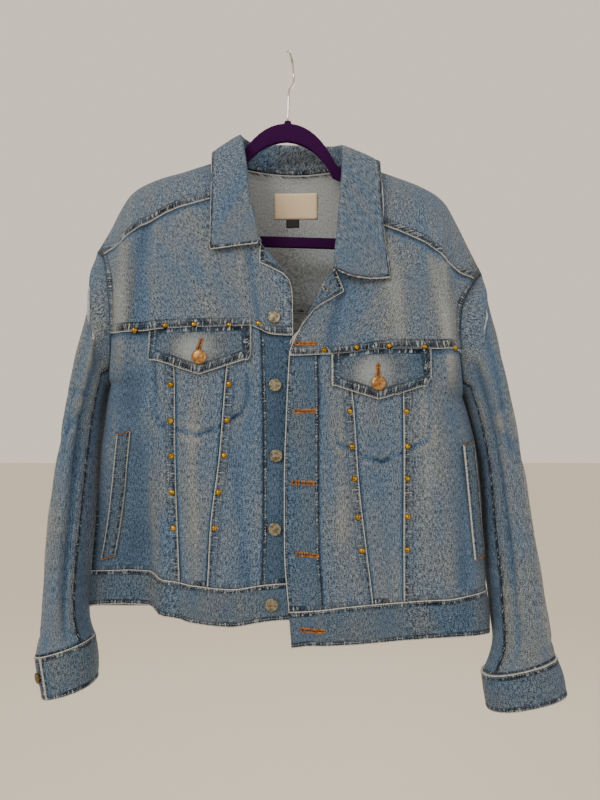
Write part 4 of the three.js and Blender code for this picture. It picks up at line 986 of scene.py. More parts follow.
def sewn(name, surface, cut):
    # cut: the piece's size across and up and its flat size in mm, its area in square cm, and how it is sewn
    step = cut.get("step", 3)
    strips = cut.get("strips", {})
    edges = {}
    for edge in edgeNames:
        width = strips.get(edge)
        edges[edge] = [width - 1.2, width + 0.4] if width else []
        if edge in cut.get("free", ()):
            edges[edge] = [1.2] + edges[edge]
    stopsU = stops(cut["size"][0], step, edges["start"], edges["end"])
    stopsV = stops(cut["size"][1], step, edges["low"], edges["high"])
    u, v = np.meshgrid(stopsU, stopsV)
    place = surface(u, v)
    normal, sign = normalsOf(place, cut.get("core", trunk))
    far, along, runU, runV = toEdges(place)
    seed = cut.get("seed", len(sheets) * 1.7)
    rise = np.full(u.shape, float(cut.get("lift", 0)))
    hold = np.minimum.reduce([smooth(0, 14, far[edge]) for edge in edgeNames])
    waves = sway(place, seed)
    rise += cut.get("sway", 0.7) * waves * hold
    # the colour follows the relief: bluer and darker in its dips, paler on its bumps, partly wash and wear and partly
    # painted shade
    tone = 0.5 * cut.get("sway", 0.7) * waves
    # the creases' hollows are painted darker and bluer, partly wash and partly painted shade, and their ridges paler
    # with wear
    if "crease" in cut:
        fold = cut["crease"](place, u, v) * hold
        rise += fold
        tone += 0.3 * fold
    # each piece's own tone: wash in its folds, with painted shade in their hollows and on pieces that hang in shadow
    if "shade" in cut:
        tone += cut["shade"](place, u, v)
    if "crown" in cut:
        rise += cut["crown"] * np.minimum(1, 2.2 * np.minimum.reduce([far[e] for e in edgeNames]) / min(cut["size"]))
    for edge, width in strips.items():
        rise += cut.get("raised", 0.8) * (1 - smooth(width - 1.2, width + 0.4, far[edge]))
    # painted shade: a dark band along each edge that comes out from under another piece or lies by a gap; gloom is its
    # width in mm
    for edge in cut.get("under", ()):
        tone -= 2.6 * np.exp(-((far[edge] / cut.get("gloom", 2.5)) ** 2))
    near = np.full(u.shape, 99.0)
    run = np.zeros(u.shape)
    for n, edge in enumerate(cut.get("tucked", edgeNames)):
        reach = far[edge] * 9.4 / strips[edge] if edge in strips else cut.get("narrow", 1.7) * far[edge] + 1
        closer = reach < near
        near = np.where(closer, reach, near)
        run = np.where(closer, along[edge] + 200 * edgeNames.index(edge), run)
    band = np.exp(-(((near - 4) / 5) ** 2))
    pucker = ripple(run, seed)
    rise += cut.get("pucker", 0.35) * band * pucker
    worn = np.full(u.shape, 99.0)
    wornRun = np.zeros(u.shape)
    for edge in cut.get("free", ()):
        closer = far[edge] < worn
        worn = np.where(closer, far[edge], worn)
        wornRun = np.where(closer, along[edge] + 200 * edgeNames.index(edge), wornRun)
    place = place + normal * rise[..., None]

    bm = bmesh.new()
    bmesh.ops.create_grid(bm, x_segments=len(stopsU) - 1, y_segments=len(stopsV) - 1, size=0.5)
    bm.verts.ensure_lookup_table()
    spots = np.array([(vert.co.x, vert.co.y) for vert in bm.verts]) + 0.5
    column = np.rint(spots[:, 0] * (len(stopsU) - 1)).astype(int)
    row = np.rint(spots[:, 1] * (len(stopsV) - 1)).astype(int)
    laid = place[row, column] * mm
    for vert, co in zip(bm.verts, laid):
        vert.co = co
    wide, tall = runU[:, -1].mean(), runV[-1].mean()
    weave = bm.loops.layers.uv.new("weave")
    for face in bm.faces:
        face.smooth = True
        for loop in face.loops:
            n = loop.vert.index
            loop[weave].uv = (u[row[n], column[n]] * wide * mm, v[row[n], column[n]] * tall * mm)
    if sign < 0:
        bmesh.ops.reverse_faces(bm, faces=bm.faces)
    mesh = bpy.data.meshes.new(name)
    bm.to_mesh(mesh)
    bm.free()
    marks = {"seamNear": near, "seamRun": run, "edgeNear": worn, "edgeRun": wornRun, "tone": tone + cut.get("tone", 0) + 0 * u}
    for mark, values in marks.items():
        mesh.attributes.new(mark, "FLOAT", "POINT").data.foreach_set("value", values[row, column].astype(np.float32))
    piece = bpy.data.objects.new(name, mesh)
    bpy.context.scene.collection.objects.link(piece)
    for material in (cut.get("look", denimLook), cut.get("lining", insideLook)):
        mesh.materials.append(material)
    wall = piece.modifiers.new("thickness", "SOLIDIFY")
    wall.thickness = cut.get("thick", denim) * mm
    wall.offset = -1
    wall.use_even_offset = False
    wall.material_offset = 1
    wall.material_offset_rim = 0
    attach(piece, "root")
    cut.get("slot", "washed_denim")
    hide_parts(*cut.get("replaces", [name.replace("_cloth", "")]))
    sheets[name] = {"place": place, "normal": normal, "far": far}
    return piece


# Thread: every stitch is a small soft-ended bar, laid end to end along its row.
def barShape(length, radius):
    bm = bmesh.new()
    bmesh.ops.create_uvsphere(bm, u_segments=6, v_segments=4, radius=1)
    bmesh.ops.transform(bm, matrix=Matrix.Diagonal((radius, radius, length / 2, 1)), verts=bm.verts)
    points = np.array([vert.co[:] for vert in bm.verts])
    faces = [[vert.index for vert in face.verts] for face in bm.faces]
    bm.free()
    return points, faces


def layBars(name, bars, look, length, radius):  # bars: middles, directions and normals in mm
    points, faces = barShape(length, radius)
    middles, ways, ups = (np.concatenate([bar[n] for bar in bars]) for n in range(3))
    ways = ways / np.linalg.norm(ways, axis=1, keepdims=True)
    sides = np.cross(ways, ups)
    sides /= np.maximum(np.linalg.norm(sides, axis=1, keepdims=True), 1e-9)
    ups = np.cross(sides, ways)
    turned = middles[:, None] + points[None, :, :1] * sides[:, None] + points[None, :, 1:2] * ups[:, None] + points[None, :, 2:] * ways[:, None]
    count = len(points)
    made = []
    for n in range(len(middles)):
        made += [[n * count + i for i in face] for face in faces]
    mesh = bpy.data.meshes.new(name)
    mesh.from_pydata((turned.reshape(-1, 3) * mm).tolist(), [], made)
    mesh.materials.append(look)
    mesh.shade_smooth()
    piece = bpy.data.objects.new(name, mesh)
    bpy.context.scene.collection.objects.link(piece)
    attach(piece, "root")
    return piece


def resample(line, ups, pitch, skip=0.0):
    run = np.concatenate([[0], np.cumsum(np.linalg.norm(np.diff(line, axis=0), axis=1))])
    count = max(2, int((run[-1] - 2 * skip) / pitch))
    at = np.linspace(skip + pitch / 2, run[-1] - skip - pitch / 2, count)
    middle = np.stack([np.interp(at, run, line[:, n]) for n in range(3)], 1)
    after = np.stack([np.interp(at + 0.4, run, line[:, n]) for n in range(3)], 1)
    before = np.stack([np.interp(at - 0.4, run, line[:, n]) for n in range(3)], 1)
    up = np.stack([np.interp(at, run, ups[:, n]) for n in range(3)], 1)
    return middle, after - before, up


def rowAt(name, edge, distance, start=0.0, stop=1.0):  # a line on a sewn piece at a distance from an edge
    sheet = sheets[name]
    far = sheet["far"][edge]
    across = edge in ("start", "end")
    lines = range(far.shape[0] if across else far.shape[1])
    line, ups = [], []
    for n in lines:
        reach = far[n] if across else far[:, n]
        place = sheet["place"][n] if across else sheet["place"][:, n]
        normal = sheet["normal"][n] if across else sheet["normal"][:, n]
        order = np.argsort(reach, kind="stable")
        pick = lambda values: [np.interp(distance, reach[order], values[order, k]) for k in range(3)]
        line.append(pick(place))
        ups.append(pick(normal))
    share = np.linspace(0, 1, len(line))
    kept = (share >= start) & (share <= stop)
    return np.array(line)[kept], np.array(ups)[kept]


topstitch = {"pitch": 3.1, "length": 2.3, "radius": 0.42, "sink": 0.12}
threadBars = []


def stitchLine(line, ups, skip=0.0):
    middle, way, up = resample(line, ups, topstitch["pitch"], skip)
    threadBars.append((middle + up * topstitch["sink"], way, up))


def stitchRow(name, edge, distance, start=0.0, stop=1.0):
    stitchLine(*rowAt(name, edge, distance, start, stop), skip=0.6)


def onTrunk(x, z, face, lift, laps=False):  # a place on the trunk's front (-1) or back (1), raised by lift
    at = lambda dx, dz: bodyPoint(acrossAt(x + dx, z + dz), z + dz, face, laps)
    normal = np.cross(at(0.5, 0) - at(-0.5, 0), at(0, 0.5) - at(0, -0.5))
    normal /= np.linalg.norm(normal, axis=-1, keepdims=True)
    return at(0, 0) + normal * np.where(normal[..., 1:2] * face < 0, -1, 1) * lift


# The listed creases: each piece of the trunk takes those that cross it.
def creased(face, extra=None):
    def rise(place, u, v):
        fold = riseOf(bodyCreases, place[..., 0], place[..., 2], face, 30)
        return fold + (extra(place) if extra else 0)
    return rise


def folded(face, level=0.0, press=None):  # the folds' hollows are bluer with wash and darker with painted shade, as is a pressed line; level shifts the piece's tone
    def tone(place, u, v):
        fold = 0.13 * riseOf(bodyFolds, place[..., 0], place[..., 2], face, foldFade)
        return fold + level + (0.7 * press(place) if press else 0)
    return tone


# The pocket bags press a line through the front, drawn by x and z
bagLines = {
    "right": [(-156, -395), (-156, -470), (-152, -483), (-126, -489), (-106, -495), (-90, -490), (-75, -482), (-55, -470), (-48, -452), (-48, -395)],
    "left": [(54, -430), (55, -505), (78, -514), (92, -522), (108, -526), (126, -518), (148, -506), (162, -500), (164, -430)],
}


def bagPress(side):
    line = np.array(bagLines[side], float)
    def rise(place):
        x, z = place[..., 0], place[..., 2]
        away = np.full(x.shape, 99.0)
        for a, b in zip(line, line[1:]):
            t = np.clip(((x - a[0]) * (b - a)[0] + (z - a[1]) * (b - a)[1]) / np.dot(b - a, b - a), 0, 1)
            away = np.minimum(away, np.hypot(x - a[0] - t * (b - a)[0], z - a[1] - t * (b - a)[1]))
        low = smooth(-455, -475, z) if side == "right" else smooth(-485, -503, z)
        uneven = 0.65 + 0.35 * np.sin(x / 3.1) * np.sin(x / 7.3 + 1)
        return (0.35 + 0.65 * low) * uneven * (0.9 * np.exp(-(((away - 5) / 5) ** 2)) - 3.2 * np.exp(-((away / 2.6) ** 2)))
    return rise


# Creases down the sleeves: shares round (u) and down (v) the sleeve, and how far they stand out in mm
sleeveFolds = [
    {"fromU": 0.93, "toU": 0.90, "fromV": 0.05, "toV": 0.95, "width": 0.020, "rise": -3.6},
    {"fromU": 0.86, "toU": 0.84, "fromV": 0.02, "toV": 0.55, "width": 0.026, "rise": 2.6},
    {"fromU": 0.78, "toU": 0.76, "fromV": 0.12, "toV": 0.62, "width": 0.022, "rise": -2.2},
    {"fromU": 0.70, "toU": 0.64, "fromV": 0.30, "toV": 0.97, "width": 0.030, "rise": 2.4},
    {"fromU": 0.58, "toU": 0.62, "fromV": 0.45, "toV": 0.92, "width": 0.022, "rise": -2.2},
    {"fromU": 0.48, "toU": 0.52, "fromV": 0.10, "toV": 0.50, "width": 0.030, "rise": 1.8},
    {"fromU": 0.40, "toU": 0.34, "fromV": 0.25, "toV": 0.75, "width": 0.026, "rise": -2.4},
    {"fromU": 0.28, "toU": 0.32, "fromV": 0.40, "toV": 0.95, "width": 0.030, "rise": 2.6},
    {"fromU": 0.20, "toU": 0.14, "fromV": 0.10, "toV": 0.60, "width": 0.026, "rise": -2.6},
    {"fromU": 0.10, "toU": 0.08, "fromV": 0.30, "toV": 0.90, "width": 0.020, "rise": 2.0},
]
elbowFolds = [
    {"fromU": 0.92, "toU": 0.70, "fromV": 0.40, "toV": 0.47, "width": 0.016, "rise": -2.4},
    {"fromU": 0.90, "toU": 0.66, "fromV": 0.50, "toV": 0.59, "width": 0.018, "rise": -2.8},
    {"fromU": 0.12, "toU": 0.34, "fromV": 0.44, "toV": 0.50, "width": 0.018, "rise": -2.6},
    {"fromU": 0.10, "toU": 0.30, "fromV": 0.56, "toV": 0.60, "width": 0.018, "rise": -2.2},
    {"fromU": 0.50, "toU": 0.80, "fromV": 0.93, "toV": 0.955, "width": 0.012, "rise": -2.0},
    {"fromU": 0.20, "toU": 0.44, "fromV": 0.95, "toV": 0.935, "width": 0.012, "rise": -2.0},
]


def sleeveCreases(shift):
    def rise(place, u, v):
        fold = 0 * u
        for row in sleeveFolds:
            along = (v - row["fromV"]) / (row["toV"] - row["fromV"])
            middle = lerp(row["fromU"], row["toU"], along) + 0.012 * np.sin(9 * v + 40 * row["fromU"] + shift)
            ends = smooth(-0.12, 0.12, along) * smooth(1.12, 0.88, along)
            fold = fold + row["rise"] * ends * np.exp(-(((u - middle) / row["width"]) ** 2))
        for row in elbowFolds:
            along = (u - row["fromU"]) / (row["toU"] - row["fromU"])
            middle = lerp(row["fromV"], row["toV"], along) + 0.01 * math.sin(shift + 9 * row["fromV"])
            ends = smooth(-0.2, 0.25, along) * smooth(1.2, 0.75, along)
            fold = fold + row["rise"] * ends * np.exp(-(((v - middle) / row["width"]) ** 2))
        return fold
    return rise


def bandRipples(place, u, v):  # the doubled bands ripple between their rows of stitches
    x = place[..., 0]
    return 0.7 * np.sin(x / 6.5 + 3 * np.sin(x / 37)) * np.sin(math.pi * v) + 0.5 * np.sin(x / 13 + 2) * np.sin(math.pi * v)


# The fronts, right and left of the wearer
for side, s in (("right", "r"), ("left", "l")):
    sewn(f"front_yoke_{s}_cloth", frontYoke(side), {
        "size": (232, 172), "flat": (238, 186), "area": 290, "strips": {"low": 9.5, "start": 9}, "free": ["low", "end"],
        "under": ["high", "start"], "gloom": 4.5, "tucked": ["low", "start"], "crease": creased(-1), "shade": folded(-1, 0.15),
    })
    sewn(f"front_side_{s}_cloth", frontStrip(side, "side", "outer"), {
        "size": (120, 290), "flat": (128, 300), "area": 365, "strips": {"end": 10}, "free": ["end"], "under": ["high", "start"], "gloom": 5,
        "tucked": ["low", "end", "start"], "crease": creased(-1, bagPress(side)), "look": softLook,
        # painted shade: the right side piece, recessed beside the sleeve, is painted darker than the left
        "shade": folded(-1, -0.45 if side == "right" else -0.15, bagPress(side)),
    })
    sewn(f"front_middle_{s}_cloth", frontStrip(side, "outer", "inner"), {
        "size": (64, 295), "flat": (66, 296), "area": 145, "under": ["start", "end", "high"], "tucked": ["low", "high"],
        "crease": creased(-1, bagPress(side)), "shade": folded(-1, 0.2, bagPress(side)),
    })
    sewn(f"front_centre_{s}_cloth", frontStrip(side, "inner", "placket"), {
        "size": (62, 295), "flat": (64, 298), "area": 147, "strips": {"start": 10}, "free": ["start"], "under": ["high", "end"],
        "tucked": ["low", "start"], "crease": creased(-1, bagPress(side)), "shade": folded(-1, -0.1, bagPress(side)),
        "look": softLook,
    })
    sewn(f"placket_{s}_cloth", frontStrip(side, "placket", "edge"), {
        "size": (36, 290), "flat": (40, 290), "area": 102, "free": ["end"], "under": ["high"],
        "tucked": ["start", "low"], "look": bandLook, "raised": 0.4, "strips": {"start": 3},
        "tone": -0.8 if side == "right" else -0.1,
    })
    sewn(f"waistband_front_{s}_cloth", frontBand(side), {
        "size": (245, 42), "flat": (258, 48), "area": 118, "thick": doubled, "lift": 0.6, "free": ["high", "low"], "look": bandLook,
        "tucked": ["low", "high"], "crown": 0.9, "crease": bandRipples,
    })
    sewn(f"facing_{s}_cloth", turnedCorner(side), {
        "size": (34, 88) if side == "left" else (30, 45), "flat": (16, 92) if side == "left" else (12, 46), "area": 9 if side == "left" else 5,
        "lift": 2.2, "step": 2, "free": ["end"], "tucked": ["end"], "look": bandLook, "sway": 0.25, "pucker": 0.2,
        "crease": lambda place, u, v: 1.2 * np.sin(math.pi * np.minimum(1, u + 0.25)), "tone": 0.2,
    })
    sewn(f"flap_{s}_cloth", flapSurface(side), {
        "size": (118, 42), "flat": (120, 58), "area": 56, "lift": 3.4, "thick": doubled, "step": 2, "free": ["start", "end", "low"],
        "tucked": ["low", "start", "end", "high"], "look": bandLook, "sway": 0.5, "strips": {"low": 10, "start": 10, "end": 10},
        "raised": 0.35, "crease": lambda place, u, v: 1.2 * np.sin(math.pi * u), "tone": -0.3, "under": ["high"],
        "shade": lambda place, u, v: 2.4 * np.exp(-(((u - 0.42) / 0.2) ** 2)) * np.sin(math.pi * v) - 1.3 * np.abs(2 * u - 1) ** 2 * v,
    })
    sewn(f"welt_{s}_cloth", weltSurface(side), {
        "size": (17, 155), "flat": (18, 158), "area": 27.5, "lift": 2.8, "thick": 2, "step": 2, "free": ["start", "end"],
        "tucked": [], "look": bandLook, "sway": 0.3, "crown": 0.5, "pucker": 0,
    })
    sewn(f"sleeve_top_{s}_cloth", sleeveSurface(side, underEnd - 360, underStart), {
        "size": (172, 480), "flat": (300, 500), "area": 820, "core": bore, "step": 3.4, "under": ["high", "low"], "narrow": 4, "tone": 0.2,
        "tucked": ["start", "end", "high"], "sway": 1.0, "crease": sleeveCreases(1 if side == "right" else 4),
    })
    # painted shade: the under-sleeve, hanging against the body, is painted darker, and darker still along its seams
    sewn(f"sleeve_under_{s}_cloth", sleeveSurface(side, underStart, underEnd), {
        "size": (90, 350), "flat": (120, 360), "area": 258, "core": lambda place: place - np.array([60 * inward[side], 0, 0]),
        "step": 3.4, "tucked": ["start", "end", "high"], "under": ["start", "end"], "sway": 0.8, "narrow": 4, "tone": -0.4,
    })
    sewn(f"cuff_{s}_cloth", cuffSurface(side), {
        "size": (240, 50), "flat": (240, 52), "area": 108, "core": bore, "thick": doubled, "lift": 0.3, "free": ["low", "high", "end", "start"],
        "tucked": ["low", "high", "end"], "look": bandLook, "crown": 0.8, "sway": 0.5, "crease": bandRipples,
    })
print("fronts and sleeves sewn")

# The back, the shoulders and the collar
sewn("back_panel_cloth", backSheet(backWaist, backYokeSeam, 0.15, 0.15), {
    "size": (560, 345), "flat": (560, 350), "area": 1670, "under": ["high"], "tucked": ["low", "high", "start", "end"], "step": 3.4,
    "crease": creased(1), "shade": folded(1),
})
sewn("waistband_back_cloth", backSheet(backHem, backWaist, 0, 0.15), {
    "size": (560, 46), "flat": (560, 48), "area": 246, "thick": doubled, "lift": 0.6, "free": ["high", "low"], "look": bandLook,
    "tucked": ["low", "high"], "crown": 0.9, "crease": bandRipples,
})
sewn("back_yoke_cloth", backYoke, {
    "size": (500, 290), "flat": (520, 300), "area": 1150, "strips": {"low": 9.5, "high": 9.5}, "free": ["low", "high"],
    "tucked": ["low", "high", "start", "end"], "step": 3.4, "core": lambda place: place * np.array([0.8, 0, 1]) - np.array([0, 0, 60]),
    "crease": creased(1),
})
sewn("collar_cloth", collarSection, {
    "size": (470, 110), "flat": (480, 120), "area": 436, "look": collarLook, "lining": collarLook, "free": ["high"], "tucked": ["high", "low"],
    "pucker": 0.5, "core": lambda place: place * np.array([0.2, 0, 1]) + np.array([0, 0, 300]), "step": 2.6,
})
print("back sewn")


# Places on a sewn piece, found by x and z, with the direction out of the cloth.
def onPiece(name, points):
    place = sheets[name]["place"].reshape(-1, 3)
    normal = sheets[name]["normal"].reshape(-1, 3)
    spots, ways = [], []
    for x, z in points:
        away = np.hypot(place[:, 0] - x, place[:, 2] - z)
        near = np.argsort(away)[:4]
        share = 1 / (away[near] + 0.2)
        share /= share.sum()
        spots.append(share @ place[near])
        ways.append(share @ normal[near])
    ways = np.array(ways)
    return np.array(spots), ways / np.linalg.norm(ways, axis=1, keepdims=True)


# Topstitching: the piece, its edge, and the rows' distances in mm
rows = []
for s in "rl":
    rows += [
        (f"front_yoke_{s}_cloth", "low", 1.9, 0, 1), (f"front_yoke_{s}_cloth", "low", 7.9, 0, 1),
        (f"front_yoke_{s}_cloth", "start", 2, 0, 0.96), (f"front_yoke_{s}_cloth", "start", 7.6, 0.04, 0.93),
        (f"front_side_{s}_cloth", "end", 1.9, 0, 1), (f"front_side_{s}_cloth", "end", 8.4, 0, 1),
        (f"front_centre_{s}_cloth", "start", 1.9, 0, 1), (f"front_centre_{s}_cloth", "start", 8.4, 0, 1),
        (f"placket_{s}_cloth", "start", 1.8, 0, 1), (f"placket_{s}_cloth", "end", 3, 0, 1),
        (f"waistband_front_{s}_cloth", "high", 2.2, 0, 1), (f"waistband_front_{s}_cloth", "low", 3.2, 0, 1),
        (f"flap_{s}_cloth", "low", 2, 0.03, 0.97), (f"flap_{s}_cloth", "low", 8, 0.08, 0.92),
        (f"flap_{s}_cloth", "start", 2, 0.08, 1), (f"flap_{s}_cloth", "start", 8, 0.25, 1),
        (f"flap_{s}_cloth", "end", 2, 0.08, 1), (f"flap_{s}_cloth", "end", 8, 0.25, 1),
        (f"welt_{s}_cloth", "start", 1.4, 0, 1), (f"welt_{s}_cloth", "end", 1.4, 0, 1),
        (f"facing_{s}_cloth", "end", 2.2, 0.06, 0.94),
        (f"front_yoke_{s}_cloth", "end", 3, 0, 0.8),
        (f"sleeve_top_{s}_cloth", "end", 1.8, 0.02, 0.98), (f"sleeve_top_{s}_cloth", "end", 6.6, 0.02, 0.98),
        (f"sleeve_top_{s}_cloth", "start", 1.8, 0.02, 0.98), (f"sleeve_top_{s}_cloth", "start", 6.6, 0.02, 0.98),
        (f"cuff_{s}_cloth", "high", 2.2, 0, 1), (f"cuff_{s}_cloth", "low", 2.4, 0, 1), (f"cuff_{s}_cloth", "end", 2.4, 0.05, 0.95),
    ]
front = len(rows)
rows += [
    ("waistband_back_cloth", "high", 2.2, 0, 1), ("waistband_back_cloth", "low", 3.2, 0, 1),
    ("back_yoke_cloth", "low", 1.9, 0, 1), ("back_yoke_cloth", "low", 7.9, 0, 1),
    ("back_yoke_cloth", "high", 1.9, 0, 0.265), ("back_yoke_cloth", "high", 7.9, 0.02, 0.265),
    ("back_yoke_cloth", "high", 1.9, 0.735, 1), ("back_yoke_cloth", "high", 7.9, 0.735, 0.98),
    ("collar_cloth", "high", 2.2, 0.01, 0.99), ("collar_cloth", "high", 7.4, 0.03, 0.97),
]
for n, row in enumerate(rows):
    if n == front:
        layBars("topstitching_front", threadBars, threadLook, topstitch["length"], topstitch["radius"])
        threadBars.clear()
    stitchRow(*row)
layBars("topstitching_back", threadBars, threadLook, topstitch["length"], topstitch["radius"])
print("topstitched")

# Buttonholes: the thread's loops stand across the slit and round its eye, which is at the first end.
buttonholes = [
    {"on": "front_yoke_l_cloth", "eye": (7.5, -389.5), "tail": (30.5, -390), "twist": True},
    {"on": "placket_l_cloth", "eye": (6.5, -468.5), "tail": (30.5, -467.5), "twist": True},
    {"on": "placket_l_cloth", "eye": (4, -549), "tail": (28.5, -550), "twist": True},
    {"on": "placket_l_cloth", "eye": (10, -629), "tail": (34, -631), "twist": True},
    {"on": "waistband_front_l_cloth", "eye": (14.5, -712.5), "tail": (40, -714), "twist": True},
    {"on": "flap_r_cloth", "eye": (-104.5, -397), "tail": (-100.3, -384.5), "twist": True},
    {"on": "flap_l_cloth", "eye": (102.6, -427), "tail": (103.3, -414), "twist": True},
    {"on": "facing_l_cloth", "eye": (43.5, -327.5), "tail": (37.5, -317), "twist": False},
]
twistBars, paleBars, slits = [], [], []
for hole in buttonholes:
    eye, tail = np.array(hole["eye"], float), np.array(hole["tail"], float)
    way = (tail - eye) / np.linalg.norm(tail - eye)
    side = np.array([-way[1], way[0]])
    length = np.linalg.norm(tail - eye)
    places, turns = [], []
    for at in np.arange(3.2, length, 0.85):
        for out in (-1, 1):
            places.append(eye + way * at + side * out * 1.55)
            turns.append(side)
    for angle in np.radians(np.arange(40, 321, 28)):
        ray = way * math.cos(angle) + side * math.sin(angle)
        places.append(eye + way * 1.6 + ray * 2.3)
        turns.append(ray)
    for out in (-1.2, 0, 1.2):
        places.append(tail + side * out)
        turns.append(way)
    spots, ups = onPiece(hole["on"], places)
    ways = np.array([[turn[0], 0, turn[1]] for turn in turns])
    ways -= ups * np.sum(ways * ups, axis=1, keepdims=True)
    (twistBars if hole["twist"] else paleBars).append((spots + ups * 0.35, ways, ups))
    spots, ups = onPiece(hole["on"], [eye + way * at for at in np.linspace(1.6, length - 1, 6)])
    ways = np.tile(spots[-1] - spots[0], (6, 1))
    slits.append((spots + ups * 0.1, ways, ups))
for s, turn in (("r", 1), ("l", -1)):  # bar tacks at both ends of each welt
    for v in (0, -1):
        line = sheets[f"welt_{s}_cloth"]["place"][v]
        ups = sheets[f"welt_{s}_cloth"]["normal"][v]
        middle, way, up = resample(line, ups, 1.1)
        twistBars.append((middle + up * 0.3, way + [0, 0, 0.05], up))
layBars("buttonhole_twist", twistBars, twistLook, 2.9, 0.52)
layBars("lapel_buttonhole", paleBars, threadLook, 2.9, 0.5)
layBars("buttonhole_slits", slits, slitLook, 5.2, 0.62)


# Metal: a profile of radius and height in mm, turned and stood on the cloth in several places.
def turned(name, profile, spots, ups, look, slot, replaced=()):
    base = bmesh.new()
    ring = [base.verts.new((radius * mm, 0, height * mm)) for radius, height in profile]
    edges = [base.edges.new(pair) for pair in zip(ring, ring[1:])]
    bmesh.ops.spin(base, geom=ring + edges, axis=(0, 0, 1), cent=(0, 0, 0), steps=32, angle=2 * math.pi, use_merge=True)
    bmesh.ops.remove_doubles(base, verts=base.verts, dist=1e-6)
    bmesh.ops.recalc_face_normals(base, faces=base.faces)
    shape = bpy.data.meshes.new(name + "_shape")
    base.to_mesh(shape)
    base.free()
    joined = bmesh.new()
    for spot, up in zip(spots, ups):
        before = len(joined.verts)
        joined.from_mesh(shape)
        joined.verts.ensure_lookup_table()
        stand = Matrix.Translation(Vector(spot) * mm) @ Vector(up).to_track_quat("Z", "Y").to_matrix().to_4x4()
        bmesh.ops.transform(joined, matrix=stand, verts=joined.verts[before:])
    for face in joined.faces:
        face.smooth = True
    mesh = bpy.data.meshes.new(name)
    joined.to_mesh(mesh)
    joined.free()
    mesh.materials.append(look)
    mesh.set_sharp_from_angle(angle=math.radians(50))
    piece = bpy.data.objects.new(name, mesh)
    bpy.context.scene.collection.objects.link(piece)
    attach(piece, "root")
    if replaced:
        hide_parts(*replaced)
    return piece


studProfile = [(0, 2.5), (0.9, 2.42), (1.7, 2.15), (2.4, 1.65), (2.9, 1.05), (3.15, 0.45), (3.5, 0.3), (3.6, 0), (3.4, -0.4)]
spots, ups, replaced = [], [], []
for side, s in (("right", "r"), ("left", "l")):
    for n, z in enumerate(studHeights[side], 1):
        for seam, name in (("outer", "front_side"), ("inner", "front_centre")):
            away = (6.5 if seam == "inner" else -6.5) * inward[side]
            spot, up = onPiece(f"{name}_{s}_cloth", [(float(seamX(side, seam, z)) + away * 0.8, z)])
            spots.append(spot[0])
            ups.append(up[0])
            replaced.append(f"stud_{seam}_{s}_{n}")
yokeStuds = {
    "right": [(-180.7, -372.3), (-143, -367.7), (-110.7, -366.5), (-71, -367.7), (-35.4, -365.4)],
    "left": [(41, -397.8), (79.5, -393.1), (117, -392), (159, -393.1), (194, -394.3)],
}
for side, s in (("right", "r"), ("left", "l")):
    found = onPiece(f"front_yoke_{s}_cloth", yokeStuds[side])
    spots += list(found[0])
    ups += list(found[1])
turned("studs", studProfile, spots, ups, brassLook, "brass", replaced)

discProfile = [(0, 3.3), (4.6, 3.25), (5.3, 3.05), (5.9, 3.3), (6.7, 3.4), (7.2, 3.1), (7.4, 2.6), (7.2, 2.1), (6.4, 1.8), (3, 1.5), (3, -0.4)]
spots, ups = [], []
for n, spot in enumerate(buttonPlaces):
    name = ["front_yoke_r_cloth", "placket_r_cloth", "placket_r_cloth", "placket_r_cloth", "waistband_front_r_cloth"][n]
    found = onPiece(name, [spot])
    spots.append(found[0][0])
    ups.append(found[1][0])
turned("front_buttons", discProfile, spots, ups, nickelLook, "aged_nickel", [f"front_button_{n}" for n in range(1, 6)])

domeProfile = [(0, 4.2), (3, 4.1), (5.4, 3.75), (7.2, 3.2), (8.1, 2.6), (8.4, 2.1), (8, 1.7), (6.6, 1.5), (3.2, 1.3), (3.2, -0.4)]
spots, ups = zip(*[(found[0][0], found[1][0]) for found in
    (onPiece(f"flap_{side[0]}_cloth", [flapButtonPlaces[side]]) for side in ("right", "left"))])
turned("flap_buttons", domeProfile, spots, ups, copperLook, "copper_brass", ["flap_button_r", "flap_button_l"])

spots, ups = [], []
for side, share in (("right", 1 - 18.8 / 357.6), ("left", 18.8 / 357.6)):
    sheet = sheets[f"cuff_{side[0]}_cloth"]
    row, column = sheet["place"].shape[0] // 2, round(share * (sheet["place"].shape[1] - 1))
    spots.append(sheet["place"][row, column])
    ups.append(sheet["normal"][row, column])
cuffProfile = [(radius * 0.88, height * 0.9) for radius, height in discProfile]
turned("cuff_buttons", cuffProfile, spots, ups, dullLook, "aged_nickel", ["cuff_button_r", "cuff_button_l"])
print("hardware set")


# The neck's label and its tab, sewn inside the back
def insideBack(fromX, toX, lowZ, topZ):
    return lambda u, v: onTrunk(lerp(fromX, toX, u), lerp(lowZ, topZ, v), 1, -denim - 0.7)


sewn("neck_label_cloth", insideBack(-21.5, 36.5, -203.5, -170), {
    "size": (58, 33.5), "flat": (58, 34), "area": 19.4, "thick": 0.6, "look": labelLook, "lining": labelLook, "sway": 0.15, "pucker": 0,
    "slot": "woven_label",
})
sewn("size_tab_cloth", insideBack(-5.5, 12, -215, -203), {
    "size": (17.5, 12), "flat": (18, 12), "area": 2.1, "thick": 0.4, "look": tabLook, "lining": tabLook, "sway": 0.1, "pucker": 0,
    "slot": "woven_label", "step": 2, "replaces": ["neck_label"],
})
print("label sewn in")


